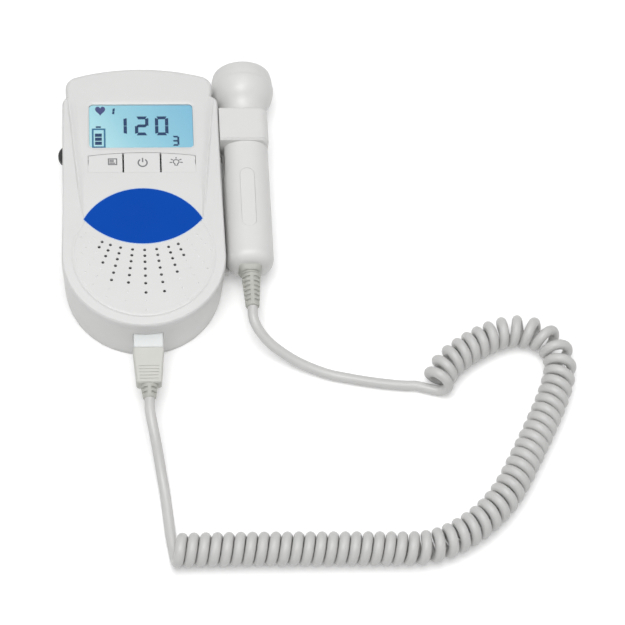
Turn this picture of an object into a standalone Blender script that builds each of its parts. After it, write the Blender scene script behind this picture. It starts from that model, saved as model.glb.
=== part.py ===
# Pocket fetal doppler with its docked probe, plug and curly cord.
# Metres, +Z up. The unit lies on its back: the display end points to +Y and
# the origin is on the unit's back face, just below its middle.
import math

import bmesh
import bpy
from mathutils import Matrix, Vector

COLLECTION = "fetal_doppler"

# Clearances
GAP = 0.0003
CUT_OVERRUN = 0.0010
JOIN_OVERLAP = 0.0004

# Batteries and their bay, which set the unit's width and depth
CELL_RADIUS = 0.0071
CELL_LENGTH = 0.0492
CELL_NUB_RADIUS = 0.0027
CELL_NUB_LENGTH = 0.0013
CELL_SPACING = 0.0013
CELL_SIDE_ROOM = 0.00235
CELL_END_ROOM = 0.0043
CELL_DOOR_ROOM = 0.0008
CELL_ROWS_ABOVE_FOOT = 0.0073
BAY_WALL = 0.0012
BAY_SIDE_ROOM = 0.0047
DOOR_THICKNESS = 0.0015
DOOR_LEDGE = 0.0013
DOOR_CORNER = 0.0015
DOOR_GRIP_COUNT = 5
DOOR_GRIP_HALF_LENGTH = 0.0070
DOOR_GRIP_DEPTH = 0.0004
DOOR_GRIP_WIDTH = 0.0007
DOOR_GRIP_PITCH = 0.0016
DOOR_GRIP_ABOVE_END = 0.0115
CONTACT_HALF_WIDTH = 0.0055
CONTACT_THICKNESS = 0.0004
SPRING_WIRE = 0.0007
SPRING_BASE_RADIUS = 0.0042
SPRING_TIP_RADIUS = 0.0025
SPRING_TURNS = 3
CELL_PITCH = 2 * CELL_RADIUS + CELL_SPACING
CELL_AXIS_Z = DOOR_THICKNESS + CELL_DOOR_ROOM + CELL_RADIUS
BAY_HALF_WIDTH = CELL_LENGTH / 2 + CELL_END_ROOM
BAY_HALF_DEPTH = CELL_PITCH / 2 + CELL_RADIUS + CELL_SIDE_ROOM
BAY_INNER_TOP_Z = CELL_AXIS_Z + CELL_RADIUS + GAP
BAY_ROOF_Z = BAY_INNER_TOP_Z + BAY_WALL

# Outline of the main unit, seen from the front
UNIT_LENGTH = 0.1363
ORIGIN_BELOW_MIDDLE = 0.00065
WALL = 0.0020
HOOD_STEP = 0.0024
HOOD_LEAN = 0.0006
HOOD_CORNER_RADIUS = 0.0065
TOP_ARC_RADIUS = 0.1020
SHOULDER_BELOW_TOP = 0.0151
SHOULDER_RADIUS = 0.0044
DOCK_RELIEF = 0.0012
DOCK_RELIEF_BELOW_SHOULDER = 0.0387
DOCK_RELIEF_TAPER = 0.0650
UNIT_HALF_WIDTH = BAY_HALF_WIDTH + BAY_WALL + BAY_SIDE_ROOM + WALL
HOOD_HALF_WIDTH = UNIT_HALF_WIDTH - HOOD_STEP
HOOD_FOOT_X = HOOD_HALF_WIDTH - HOOD_LEAN
TOP_Y = UNIT_LENGTH / 2 + ORIGIN_BELOW_MIDDLE
LOWER_END_Y = TOP_Y - UNIT_LENGTH
FOOT_CENTRE_Y = LOWER_END_Y + UNIT_HALF_WIDTH
SHOULDER_Y = TOP_Y - SHOULDER_BELOW_TOP
DOCK_RELIEF_Y = SHOULDER_Y - DOCK_RELIEF_BELOW_SHOULDER
CELL_ROWS_Y = FOOT_CENTRE_Y + CELL_ROWS_ABOVE_FOOT

# Main circuit board and chips
BOARD_SIDE_ROOM = 0.0013
BOARD_BELOW_SHOULDER = 0.0035
BOARD_ABOVE_FOOT = 0.0142
BOARD_THICKNESS = 0.0016
PROCESSOR_SIDE = 0.0120
PROCESSOR_X = 0.0080
PROCESSOR_ABOVE_FOOT = 0.0317
AMPLIFIER_SIDE = 0.0060
AMPLIFIER_X = -0.0120
AMPLIFIER_ABOVE_FOOT = 0.0247
CHIP_HEIGHT = 0.0014
BOARD_HALF_WIDTH = UNIT_HALF_WIDTH - WALL - BOARD_SIDE_ROOM
BOARD_TOP_Y = SHOULDER_Y - BOARD_BELOW_SHOULDER
BOARD_BOTTOM_Y = FOOT_CENTRE_Y + BOARD_ABOVE_FOOT
BOARD_Z = BAY_ROOF_Z + GAP
BOARD_TOP_Z = BOARD_Z + BOARD_THICKNESS

# Display
WINDOW_MARGIN = 0.0128
WINDOW_BELOW_TOP = 0.0196
WINDOW_HEIGHT = 0.0242
WINDOW_CORNER = 0.0020
WINDOW_FLARE = 0.0015
BEZEL_BORDER = 0.0018
BACKLIGHT_THICKNESS = 0.0039
PANEL_THICKNESS = 0.0020
LENS_THICKNESS = 0.0005
LENS_SINK = 0.0008
WINDOW_HALF_WIDTH = UNIT_HALF_WIDTH - WINDOW_MARGIN
WINDOW_BOTTOM_Y = TOP_Y - WINDOW_BELOW_TOP - WINDOW_HEIGHT

# Heights of the main unit, stacked up from the board through the display
FLOOR = 0.0030
RIM_HEIGHT = 0.0040
FACE_ROUND = 0.0014
BASE_ROUND = 0.0013
LENS_TOP_Z = BOARD_TOP_Z + 3 * GAP + BACKLIGHT_THICKNESS + PANEL_THICKNESS + LENS_THICKNESS
FACE_Z = LENS_TOP_Z + LENS_SINK
INNER_FACE_Z = FACE_Z - WALL
PARTING_Z = FACE_Z - RIM_HEIGHT
BACK_TOP_Z = PARTING_Z - GAP

# Keys and their switches
KEY_MARGIN = 0.0124
KEYS_BELOW_WINDOW = 0.0137
KEY_END_HEIGHT = 0.0080
KEY_ARCH = 0.0013
KEY_THICKNESS = 0.0018
KEY_SLIT = 0.0005
KEY_MIDDLE_SHARE = 0.34
KEY_NAMES = ("mode", "power", "light")
SWITCH_ABOVE_HINGE = 0.0052
SWITCH_SIDE = 0.0060
SWITCH_HEIGHT = 0.0032
PLUNGER_RADIUS = 0.0016
PLUNGER_ENGAGED = 0.0012
PLUNGER_TRAVEL = 0.0007
KEY_HALF_SPAN = UNIT_HALF_WIDTH - KEY_MARGIN
KEY_MIDDLE_HALF_WIDTH = KEY_HALF_SPAN * KEY_MIDDLE_SHARE
KEY_HINGE_Y = WINDOW_BOTTOM_Y - KEYS_BELOW_WINDOW
SWITCH_ROW_Y = KEY_HINGE_Y + SWITCH_ABOVE_HINGE

# Side bands that frame the centre panel and the speaker disc
BAND_STEP = 0.0003
BAND_SLOPE = 0.08
BAND_TOP_INSET = 0.0005
BAND_TIP_INSET = 0.0099
BAND_TIP_BELOW_KEYS = 0.0243
BAND_JOIN_ABOVE_FOOT = 0.0057
DISC_RIM = 0.0047
DISC_DROP = 0.0005
BAND_TIP_X = UNIT_HALF_WIDTH - BAND_TIP_INSET
BAND_TIP_Y = KEY_HINGE_Y - BAND_TIP_BELOW_KEYS
BAND_JOIN_Y = FOOT_CENTRE_Y + BAND_JOIN_ABOVE_FOOT
DISC_RADIUS = UNIT_HALF_WIDTH - DISC_RIM
DISC_CENTRE_Y = FOOT_CENTRE_Y - DISC_DROP

# Lens-shaped label below the keys
LABEL_SIDE_MARGIN = 0.0001
LABEL_TIP_DROP = 0.0003
LABEL_RISE = 0.0163
LABEL_DROP = 0.0131
LABEL_THICKNESS = 0.0005
LABEL_PROUD = 0.00005
LABEL_HALF_WIDTH = BAND_TIP_X - LABEL_SIDE_MARGIN
LABEL_TIP_Y = BAND_TIP_Y - LABEL_TIP_DROP

# Speaker grille: rows of holes on rays that fan out from one point
GRILLE_FOCUS_ABOVE_LABEL = 0.0254
GRILLE_RADII = (0.0415, 0.0445, 0.0476, 0.0511, 0.0547, 0.0585, 0.0632)
GRILLE_RAYS_DEG = (-26.4, -20.9, -14.4, -7.0, 0.4, 7.8, 15.3, 21.6)
GRILLE_COUNTS = (2, 4, 6, 6, 7, 7, 5, 3)
GRILLE_HOLE_RADIUS = 0.0006
GRILLE_FOCUS_Y = LABEL_TIP_Y + GRILLE_FOCUS_ABOVE_LABEL

# Speaker
SPEAKER_BELOW_FOOT = 0.0073
SPEAKER_RADIUS = 0.0195
SPEAKER_FLANGE = 0.0022
SPEAKER_SHEET = 0.0008
SPEAKER_DEPTH = 0.0042
SPEAKER_NECK_RADIUS = 0.0100
MAGNET_RADIUS = 0.0092
MAGNET_THICKNESS = 0.0028
CONE_SAG = 0.0020
CONE_SHEET = 0.0005
CONE_RIM_INSET = 0.0020
SPEAKER_Y = FOOT_CENTRE_Y - SPEAKER_BELOW_FOOT

# Volume wheel at the left wall
WHEEL_RADIUS = 0.0060
WHEEL_THICKNESS = 0.0030
WHEEL_PROTRUSION = 0.0014
WHEEL_BELOW_WINDOW = 0.0010
WHEEL_RIDGES = 24
WHEEL_RIDGE_DEPTH = 0.0004
WHEEL_BORE_RADIUS = 0.0018
WHEEL_BORE_SHARE = 0.7
WHEEL_CLEARANCE = 0.0005
POT_HALF_SIDE = 0.0050
POT_HEIGHT = 0.0024
WHEEL_X = WHEEL_RADIUS - WHEEL_PROTRUSION - UNIT_HALF_WIDTH
WHEEL_Y = WINDOW_BOTTOM_Y - WHEEL_BELOW_WINDOW
WHEEL_TOP_Z = BACK_TOP_Z - WHEEL_CLEARANCE
WHEEL_Z = WHEEL_TOP_Z - WHEEL_THICKNESS

# Shell screws and their pillars
SCREW_RADIUS = 0.0013
SCREW_HEAD_RADIUS = 0.0024
SCREW_HEAD_HEIGHT = 0.0014
SCREW_ABOVE_DOOR = 0.0011
SCREW_TIP_ROOM = 0.0055
SCREW_SLOT_WIDTH = 0.0008
SCREW_SLOT_DEPTH = 0.0007
SCREW_SLOT_SHARE = 0.7
PILLAR_RADIUS = 0.0033
PILLAR_HEIGHT = 0.0090
SCREW_UPPER_INSET = 0.0069
SCREW_UPPER_BELOW_TOP = 0.0138
SCREW_LOWER_INSET = 0.0065
SCREW_LOWER_DEG = -42.0
SCREW_SINK = DOOR_THICKNESS + SCREW_ABOVE_DOOR
SCREW_TIP_Z = INNER_FACE_Z - SCREW_TIP_ROOM
PILLAR_TOP_Z = FLOOR + PILLAR_HEIGHT
SCREW_UPPER_X = HOOD_HALF_WIDTH - SCREW_UPPER_INSET
SCREW_UPPER_Y = TOP_Y - SCREW_UPPER_BELOW_TOP
SCREW_LOWER_RADIUS = UNIT_HALF_WIDTH - SCREW_LOWER_INSET
SCREW_LOWER_X = SCREW_LOWER_RADIUS * math.cos(math.radians(SCREW_LOWER_DEG))
SCREW_LOWER_Y = FOOT_CENTRE_Y + SCREW_LOWER_RADIUS * math.sin(math.radians(SCREW_LOWER_DEG))

# Probe
PROBE_SIDE_ROOM = 0.0006
PROBE_FLOOR_ROOM = 0.0003
HANDLE_RADIUS = 0.0106
HANDLE_LENGTH = 0.0653
HANDLE_END_ROUND = 0.0045
BLOCK_LENGTH = 0.0169
BLOCK_SINK = 0.0008
BLOCK_ROUND = 0.0045
BLOCK_BEVEL = 0.0009
HEAD_RADIUS = 0.0147
HEAD_LENGTH = 0.0268
HEAD_CROWN_LENGTH = 0.0065
HEAD_CROWN_CURVE = 2.9
HEAD_FLARE_CURVE = 1.25
HEAD_FACE_RADIUS = 0.0105
NECK_RADIUS = 0.0092
HEAD_CUP_RADIUS = 0.0098
HEAD_CUP_DEPTH = 0.0125
SPIGOT_RADIUS = 0.0063
SPIGOT_LENGTH = 0.0050
BORE_RADIUS = 0.0066
BORE_END_WALL = 0.0105
ACOUSTIC_THICKNESS = 0.0016
ACOUSTIC_CROWN = 0.0004
ACOUSTIC_FLAT_SHARE = 0.8
CRYSTAL_RADIUS = 0.0090
CRYSTAL_THICKNESS = 0.0010
CRYSTAL_SPLIT = 0.0006
BACKING_THICKNESS = 0.0060
PROBE_BOARD_ROOM = 0.0120
PROBE_BOARD_LENGTH = 0.0480
PROBE_BOARD_THICKNESS = 0.0012
PLATE_HALF_WIDTH = 0.0036
PLATE_LENGTH = 0.0322
PLATE_BELOW_BLOCK = 0.0132
PLATE_THICKNESS = 0.0009
PLATE_SINK = 0.00015

# Docking rail on the right wall, and the block of the probe that slides on it
RAIL_BELOW_SHOULDER = 0.0227
RAIL_LENGTH = 0.0140
RAIL_WEB_HALF = 0.0025
RAIL_FLANGE_HALF = 0.0045
RAIL_WEB_REACH = 0.0013
RAIL_FLANGE_THICKNESS = 0.0012
RAIL_FOOT_ROOM = 0.0013
DOCK_OVERRUN = 0.0010
RAIL_START_Y = SHOULDER_Y - RAIL_BELOW_SHOULDER
DOCK_TRAVEL = RAIL_LENGTH + DOCK_OVERRUN
PROBE_X = UNIT_HALF_WIDTH + PROBE_SIDE_ROOM + HANDLE_RADIUS
PROBE_Z = PROBE_FLOOR_ROOM + HEAD_RADIUS
BLOCK_LEFT_X = UNIT_HALF_WIDTH + GAP
BLOCK_HALF_HEIGHT = FACE_Z - BLOCK_SINK - PROBE_Z
BLOCK_BOTTOM_Y = RAIL_START_Y - RAIL_FOOT_ROOM
BLOCK_TOP_Y = BLOCK_BOTTOM_Y + BLOCK_LENGTH
HANDLE_END_Y = BLOCK_BOTTOM_Y - HANDLE_LENGTH
HEAD_FACE_Y = BLOCK_TOP_Y + HEAD_LENGTH
BORE_END_Y = HANDLE_END_Y + BORE_END_WALL
PROBE_BOARD_END_Y = BORE_END_Y + PROBE_BOARD_ROOM
PLATE_CENTRE_Y = BLOCK_BOTTOM_Y - PLATE_BELOW_BLOCK - PLATE_LENGTH / 2

# Strain relief at the probe's end
GROMMET_HALF_WIDTH = 0.0053
GROMMET_HALF_HEIGHT = 0.0060
GROMMET_TAPER = 0.0008
GROMMET_SEAT = 0.0048
GROMMET_LENGTH = 0.0083
GROMMET_ROUND = 0.0008
PROBE_BOOT_COLLAR = 0.0008
PROBE_BOOT_RADIUS = 0.0046
PROBE_BOOT_TIP_RADIUS = 0.0030
PROBE_BOOT_LENGTH = 0.0117
PROBE_BOOT_SLOTS = 6
GROMMET_TOP_Y = HANDLE_END_Y + GROMMET_SEAT

# Plug and its strain relief
PLUG_X = 0.0012
PLUG_BELOW_RIM = 0.0088
PLUG_NOSE_HALF_WIDTH = 0.0065
PLUG_NOSE_HALF_HEIGHT = 0.0042
PLUG_NOSE_PROUD = 0.0062
PLUG_INSERTED = 0.0080
PLUG_EDGE = 0.0007
PLUG_BODY_HALF_WIDTH = 0.0069
PLUG_BODY_HALF_HEIGHT = 0.0045
PLUG_BODY_LENGTH = 0.0168
PLUG_REAR_HALF_WIDTH = 0.0055
PLUG_REAR_HALF_HEIGHT = 0.0033
PLUG_RIBS = 4
PLUG_RIB_HALF_LENGTH = 0.0036
PLUG_RIB_WIDTH = 0.0006
PLUG_RIB_DEPTH = 0.0004
PLUG_RIB_PITCH = 0.0019
PLUG_BOOT_RADIUS = 0.0038
PLUG_BOOT_TIP_RADIUS = 0.0028
PLUG_BOOT_LENGTH = 0.0062
PLUG_BOOT_SLOTS = 2
SLOT_DEPTH = 0.0007
SPINE_HALF_WIDTH = 0.0007
SOCKET_WALL = 0.0012
SOCKET_BACK = 0.0020
PLUG_Z = PARTING_Z - PLUG_BELOW_RIM

# Cord. Its points are (right of the unit's middle, beyond its lower end, height).
CORD_RADIUS = 0.0023
CURL_MEAN_RADIUS = 0.0053
CURL_PITCH = 0.00502
CURL_POINTS = 9
CURL_SMOOTHING = 120
CURL_BEND_ALLOWANCE = 1.1
CURL_FLOOR_CLEARANCE = 0.0001
LEAST_CURL_GAP = 0.0004
RUN_POINT_SPACING = 0.0085
COIL_AXIS_Z = CURL_FLOOR_CLEARANCE + CURL_MEAN_RADIUS + CORD_RADIUS
COIL_ROUTE = (
    (0.0104, -0.0975), (0.0250, -0.0975), (0.0450, -0.0977), (0.0650, -0.0981),
    (0.0850, -0.0985), (0.1030, -0.0989), (0.1150, -0.0992), (0.1230, -0.0980),
    (0.1310, -0.0945), (0.1405, -0.0889), (0.1495, -0.0811), (0.1570, -0.0717),
    (0.1652, -0.0573), (0.1730, -0.0430), (0.1795, -0.0300), (0.1842, -0.0185),
    (0.1860, -0.0095), (0.1832, -0.0011), (0.1765, 0.0041), (0.1670, 0.0059),
    (0.1570, 0.0035), (0.1470, -0.0017), (0.1380, -0.0077), (0.1318, -0.0137),
    (0.1286, -0.0210),
)
PLUG_RUN_ROUTE = (
    (0.0016, -0.0375, 0.0147), (0.0027, -0.0435, 0.0131), (0.0037, -0.0485, 0.0108),
    (0.0048, -0.0545, 0.0076), (0.0059, -0.0610, 0.0048), (0.0070, -0.0680, 0.0030),
    (0.0079, -0.0765, 0.0024), (0.0087, -0.0845, 0.0024),
)
PROBE_RUN_ROUTE = (
    (0.0486, 0.0085, 0.0143), (0.0510, 0.0045, 0.0122), (0.0552, 0.0003, 0.0096),
    (0.0608, -0.0033, 0.0070), (0.0674, -0.0069, 0.0049), (0.0742, -0.0097, 0.0034),
    (0.0820, -0.0124, 0.0025), (0.0909, -0.0145, 0.0024), (0.0997, -0.0163, 0.0024),
    (0.1086, -0.0177, 0.0024), (0.1160, -0.0185, 0.0024),
)


def clear_scene():
    for item in list(bpy.data.objects):
        bpy.data.objects.remove(item, do_unlink=True)


def new_collection(name):
    collection = bpy.data.collections.new(name)
    bpy.context.scene.collection.children.link(collection)
    return collection


def material(name, colour, roughness, metallic=0.0):
    mat = bpy.data.materials.new(name)
    mat.use_nodes = True
    shader = mat.node_tree.nodes["Principled BSDF"]
    shader.inputs["Base Color"].default_value = (*colour, 1.0)
    shader.inputs["Roughness"].default_value = roughness
    shader.inputs["Metallic"].default_value = metallic
    mat.diffuse_color = (*colour, 1.0)
    return mat


clear_scene()
parts = new_collection(COLLECTION)
cutters = new_collection(COLLECTION + "_cutters")

CASE_WHITE = material("case_white", (0.72, 0.72, 0.71), 0.42)
CLEAR_LENS = material("clear_lens", (0.80, 0.86, 0.88), 0.05)
DISPLAY_CYAN = material("display_cyan", (0.30, 0.62, 0.74), 0.20)
DIFFUSER = material("diffuser_white", (0.85, 0.88, 0.90), 0.35)
LABEL_BLUE = material("label_blue", (0.01, 0.08, 0.45), 0.30)
GREY_RUBBER = material("grey_rubber", (0.46, 0.47, 0.42), 0.60)
CORD_GREY = material("cord_grey", (0.58, 0.58, 0.57), 0.45)
BLACK_PLASTIC = material("black_plastic", (0.02, 0.02, 0.02), 0.45)
BOARD_GREEN = material("board_green", (0.02, 0.20, 0.08), 0.50)
STEEL = material("steel", (0.55, 0.55, 0.57), 0.30, 1.0)
FERRITE = material("ferrite", (0.06, 0.06, 0.07), 0.60)
PAPER = material("speaker_paper", (0.08, 0.08, 0.08), 0.85)
CELL_WRAP = material("cell_wrap", (0.10, 0.22, 0.12), 0.35)
ACOUSTIC = material("acoustic_grey", (0.50, 0.52, 0.52), 0.40)
CERAMIC = material("ceramic", (0.62, 0.56, 0.44), 0.45)


def add_object(name, mesh, mat=None):
    item = bpy.data.objects.new(name, mesh)
    parts.objects.link(item)
    if mat is not None:
        mesh.materials.clear()
        mesh.materials.append(mat)
    return item


def finish_mesh(bm, name):
    mesh = bpy.data.meshes.new(name)
    bmesh.ops.recalc_face_normals(bm, faces=bm.faces[:])
    bm.to_mesh(mesh)
    bm.free()
    return mesh


def box(name, low, high, mat=None):
    bm = bmesh.new()
    centre = [(a + b) / 2 for a, b in zip(low, high)]
    size = [b - a for a, b in zip(low, high)]
    bmesh.ops.create_cube(bm, size=1.0, matrix=Matrix.Diagonal((*size, 1.0)))
    item = add_object(name, finish_mesh(bm, name), mat)
    item.location = centre
    return item


def cylinder(name, x, y, z_low, z_high, radius, sides, mat=None):
    bm = bmesh.new()
    bmesh.ops.create_cone(bm, cap_ends=True, segments=sides, radius1=radius, radius2=radius,
                          depth=z_high - z_low)
    item = add_object(name, finish_mesh(bm, name), mat)
    item.location = (x, y, (z_low + z_high) / 2)
    return item


def curve_to_mesh(item, name, mat):
    bpy.context.view_layer.update()
    evaluated = item.evaluated_get(bpy.context.evaluated_depsgraph_get())
    mesh = bpy.data.meshes.new_from_object(evaluated)
    bm = bmesh.new()
    bm.from_mesh(mesh)
    bmesh.ops.remove_doubles(bm, verts=bm.verts[:], dist=0.000001)
    bmesh.ops.recalc_face_normals(bm, faces=bm.faces[:])
    bm.to_mesh(mesh)
    bm.free()
    solid = add_object(name, mesh, mat)
    solid.matrix_world = item.matrix_world
    bpy.data.objects.remove(item, do_unlink=True)
    mesh.name = name
    return solid


def prism(name, outline, z_low, z_high, mat=None):
    curve = bpy.data.curves.new(name + "_outline", "CURVE")
    curve.dimensions = "2D"
    curve.fill_mode = "BOTH"
    curve.extrude = (z_high - z_low) / 2
    spline = curve.splines.new("POLY")
    spline.points.add(len(outline) - 1)
    for point, (x, y) in zip(spline.points, outline):
        point.co = (x, y, 0.0, 1.0)
    spline.use_cyclic_u = True
    item = bpy.data.objects.new(name + "_outline", curve)
    parts.objects.link(item)
    item.location = (0.0, 0.0, (z_low + z_high) / 2)
    return curve_to_mesh(item, name, mat)


def lathe(name, profile, steps, mat=None, closed=False):
    """Turn (radius, height) points, listed down the outer side, about Z."""
    mesh = bpy.data.meshes.new(name)
    count = len(profile)
    edges = [(i, i + 1) for i in range(count - 1)]
    if closed:
        edges.append((count - 1, 0))
    mesh.from_pydata([(r, 0.0, z) for r, z in profile], edges, [])
    item = add_object(name, mesh, mat)
    screw = item.modifiers.new("turn", "SCREW")
    screw.axis = "Z"
    screw.steps = steps
    screw.render_steps = steps
    screw.use_merge_vertices = True
    screw.merge_threshold = 0.00001
    return item


def along_y(item, x, z, y=0.0):
    """Lay an object turned about Z along +Y, with its axis at x and z."""
    item.rotation_euler = (-math.pi / 2, 0.0, 0.0)
    item.location = (x, y, z)
    return item


def tube(name, points, radius, resolution, mat=None):
    curve = bpy.data.curves.new(name, "CURVE")
    curve.dimensions = "3D"
    curve.bevel_depth = radius
    curve.bevel_resolution = resolution
    curve.use_fill_caps = True
    spline = curve.splines.new("POLY")
    spline.points.add(len(points) - 1)
    for point, place in zip(spline.points, points):
        point.co = (*place, 1.0)
    item = bpy.data.objects.new(name, curve)
    parts.objects.link(item)
    if mat is not None:
        curve.materials.append(mat)
    return item


def boolean(item, tool, operation):
    parts.objects.unlink(tool)
    cutters.objects.link(tool)
    tool.hide_render = True
    tool.display_type = "WIRE"
    step = item.modifiers.new(tool.name, "BOOLEAN")
    step.operation = operation
    step.solver = "EXACT"
    step.object = tool


def cut(item, tool):
    boolean(item, tool, "DIFFERENCE")


def join(item, tool):
    boolean(item, tool, "UNION")


def round_edges(item, choose, width, segments):
    """Bevel the edges whose two ends and direction the choose function accepts."""
    bm = bmesh.new()
    bm.from_mesh(item.data)
    chosen = [e for e in bm.edges if choose(e)]
    bmesh.ops.bevel(bm, geom=chosen, offset=width, offset_type="OFFSET", segments=segments,
                    profile=0.5, affect="EDGES", clamp_overlap=True)
    bmesh.ops.recalc_face_normals(bm, faces=bm.faces[:])
    bm.to_mesh(item.data)
    bm.free()


def sharp(edge):
    return len(edge.link_faces) == 2 and edge.calc_face_angle(0.0) > math.radians(30)


def at_top(edge):
    top = max(v.co.z for v in edge.verts)
    bottom = min(v.co.z for v in edge.verts)
    return sharp(edge) and top == bottom and top > 0.0


def at_bottom(edge):
    top = max(v.co.z for v in edge.verts)
    bottom = min(v.co.z for v in edge.verts)
    return sharp(edge) and top == bottom and top < 0.0


def lengthwise(edge):
    a, b = edge.verts
    return sharp(edge) and abs(a.co.y - b.co.y) > max(abs(a.co.x - b.co.x), abs(a.co.z - b.co.z))


def smooth(item, angle_deg=35):
    item.data.shade_smooth()
    item.data.set_sharp_from_angle(angle=math.radians(angle_deg))


def arc(centre, radius, start_deg, end_deg, count):
    x, y = centre
    points = []
    for i in range(count + 1):
        angle = math.radians(start_deg + (end_deg - start_deg) * i / count)
        points.append((x + radius * math.cos(angle), y + radius * math.sin(angle)))
    return points


def rounded_rectangle(half_width, low_y, high_y, radius, corner_steps=4):
    low, high = low_y + radius, high_y - radius
    reach = half_width - radius
    points = arc((reach, low), radius, -90, 0, corner_steps)
    points += arc((reach, high), radius, 0, 90, corner_steps)
    points += arc((-reach, high), radius, 90, 180, corner_steps)
    points += arc((-reach, low), radius, 180, 270, corner_steps)
    return points


def relieved(x, y, relief):
    """A point of the right wall, stood back by the relief that makes room for the docked probe."""
    share = 1 - (DOCK_RELIEF_Y - y) / DOCK_RELIEF_TAPER
    return x - relief * min(max(share, 0.0), 1.0), y


def half_outline(inset, relief):
    """Right half of the unit's plan, from its foot to the middle of its top edge."""
    points = arc((0.0, FOOT_CENTRE_Y), UNIT_HALF_WIDTH - inset, -90, 0, 14)
    points.append((UNIT_HALF_WIDTH - inset, DOCK_RELIEF_Y))
    points = [relieved(x, y, relief) for x, y in points]
    shoulder_x = UNIT_HALF_WIDTH - relief - SHOULDER_RADIUS
    shoulder_radius = SHOULDER_RADIUS - inset
    sweep = math.degrees(math.acos((HOOD_FOOT_X - inset - shoulder_x) / shoulder_radius))
    points += arc((shoulder_x, SHOULDER_Y - SHOULDER_RADIUS), shoulder_radius, 0, sweep, 4)
    top_centre_y = TOP_Y - TOP_ARC_RADIUS
    corner_x = HOOD_HALF_WIDTH - HOOD_CORNER_RADIUS
    corner_y = top_centre_y + math.sqrt((TOP_ARC_RADIUS - HOOD_CORNER_RADIUS) ** 2 - corner_x ** 2)
    lean = math.degrees(math.atan2(corner_y - top_centre_y, corner_x))
    points += arc((corner_x, corner_y), HOOD_CORNER_RADIUS - inset, 0, lean, 5)
    points += arc((0.0, top_centre_y), TOP_ARC_RADIUS - inset, lean, 90, 5)[1:]
    return points


def unit_outline(inset, relief=0.0):
    """Plan of the main unit, moved inwards by inset, as a loop."""
    left = [(-x, y) for x, y in reversed(half_outline(inset, 0.0)[1:-1])]
    return half_outline(inset, relief) + left


def label_outline(shrink):
    """Two arcs that meet in points at the left and right, in from the full outline by shrink."""
    half = LABEL_HALF_WIDTH - shrink
    points = []
    for rise, sign in ((LABEL_RISE - shrink, 1), (LABEL_DROP - shrink, -1)):
        radius = (half ** 2 + rise ** 2) / (2 * rise)
        reach = math.degrees(math.asin(half / radius))
        centre = (0.0, LABEL_TIP_Y + sign * (rise - radius))
        middle = 90 * sign
        points += arc(centre, radius, middle - reach, middle + reach, 12)[:-1]
    return points


def key_top_y(x):
    """Upper edge of the key row, a shallow arch."""
    return KEY_HINGE_Y + KEY_END_HEIGHT + KEY_ARCH * (1 - (x / KEY_HALF_SPAN) ** 2)


def key_outline(left, right, trim):
    low = KEY_HINGE_Y + trim
    steps = 5
    points = [(left + trim, low), (right - trim, low)]
    for i in range(steps + 1):
        x = right - trim + (left - right + 2 * trim) * i / steps
        points.append((x, key_top_y(x) - trim))
    return points


def crease_x(y):
    """Half width of the centre panel, and of the speaker disc below it."""
    join_x = math.sqrt(DISC_RADIUS ** 2 - (BAND_JOIN_Y - DISC_CENTRE_Y) ** 2)
    if y >= BAND_TIP_Y:
        share = (y - BAND_TIP_Y) / (SHOULDER_Y - BAND_TIP_Y)
        return BAND_TIP_X + (HOOD_FOOT_X - BAND_TOP_INSET - BAND_TIP_X) * share
    share = (BAND_TIP_Y - y) / (BAND_TIP_Y - BAND_JOIN_Y)
    return BAND_TIP_X + (join_x - BAND_TIP_X) * share * share * (3 - 2 * share)


def band_sections():
    """Inner and outer ends of the band cut, from the right shoulder round to the left one."""
    reach = UNIT_HALF_WIDTH + CUT_OVERRUN
    right = []
    for y in (SHOULDER_Y + GAP, BAND_TIP_Y):
        right.append(((crease_x(y), y), (reach, y)))
    steps = 6
    for i in range(1, steps + 1):
        y = BAND_TIP_Y + (BAND_JOIN_Y - BAND_TIP_Y) * i / steps
        right.append(((crease_x(y), y), (reach, y)))
    start = math.degrees(math.asin((BAND_JOIN_Y - DISC_CENTRE_Y) / DISC_RADIUS))
    inner = arc((0.0, DISC_CENTRE_Y), DISC_RADIUS, start, -90, 18)
    for x, y in inner[1:]:
        angle = math.atan2(y - FOOT_CENTRE_Y, x)
        outer = (reach * math.cos(angle), FOOT_CENTRE_Y + reach * math.sin(angle))
        if y > FOOT_CENTRE_Y:
            outer = (reach, y)
        right.append(((x, y), outer))
    left = [((-a, b), (-c, d)) for (a, b), (c, d) in reversed(right[:-1])]
    return right + left


def band_cutter():
    """Loft that lowers the side bands by a step and slopes them to the rim."""
    bm = bmesh.new()
    rings = []
    for (xi, yi), (xo, yo) in band_sections():
        width = math.hypot(xo - xi, yo - yi)
        low_in = FACE_Z - BAND_STEP
        low_out = low_in - BAND_SLOPE * width
        top = FACE_Z + CUT_OVERRUN
        places = ((xi, yi, low_in), (xo, yo, low_out), (xo, yo, top), (xi, yi, top))
        rings.append([bm.verts.new(p) for p in places])
    for a, b in zip(rings, rings[1:]):
        for k in range(4):
            bm.faces.new((a[k], a[(k + 1) % 4], b[(k + 1) % 4], b[k]))
    bm.faces.new(rings[0][::-1])
    bm.faces.new(rings[-1])
    return add_object("band_cutter", finish_mesh(bm, "band_cutter"))


def window_outline(grow):
    return rounded_rectangle(WINDOW_HALF_WIDTH + grow, WINDOW_BOTTOM_Y - grow,
                             WINDOW_BOTTOM_Y + WINDOW_HEIGHT + grow, WINDOW_CORNER + grow)


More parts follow.
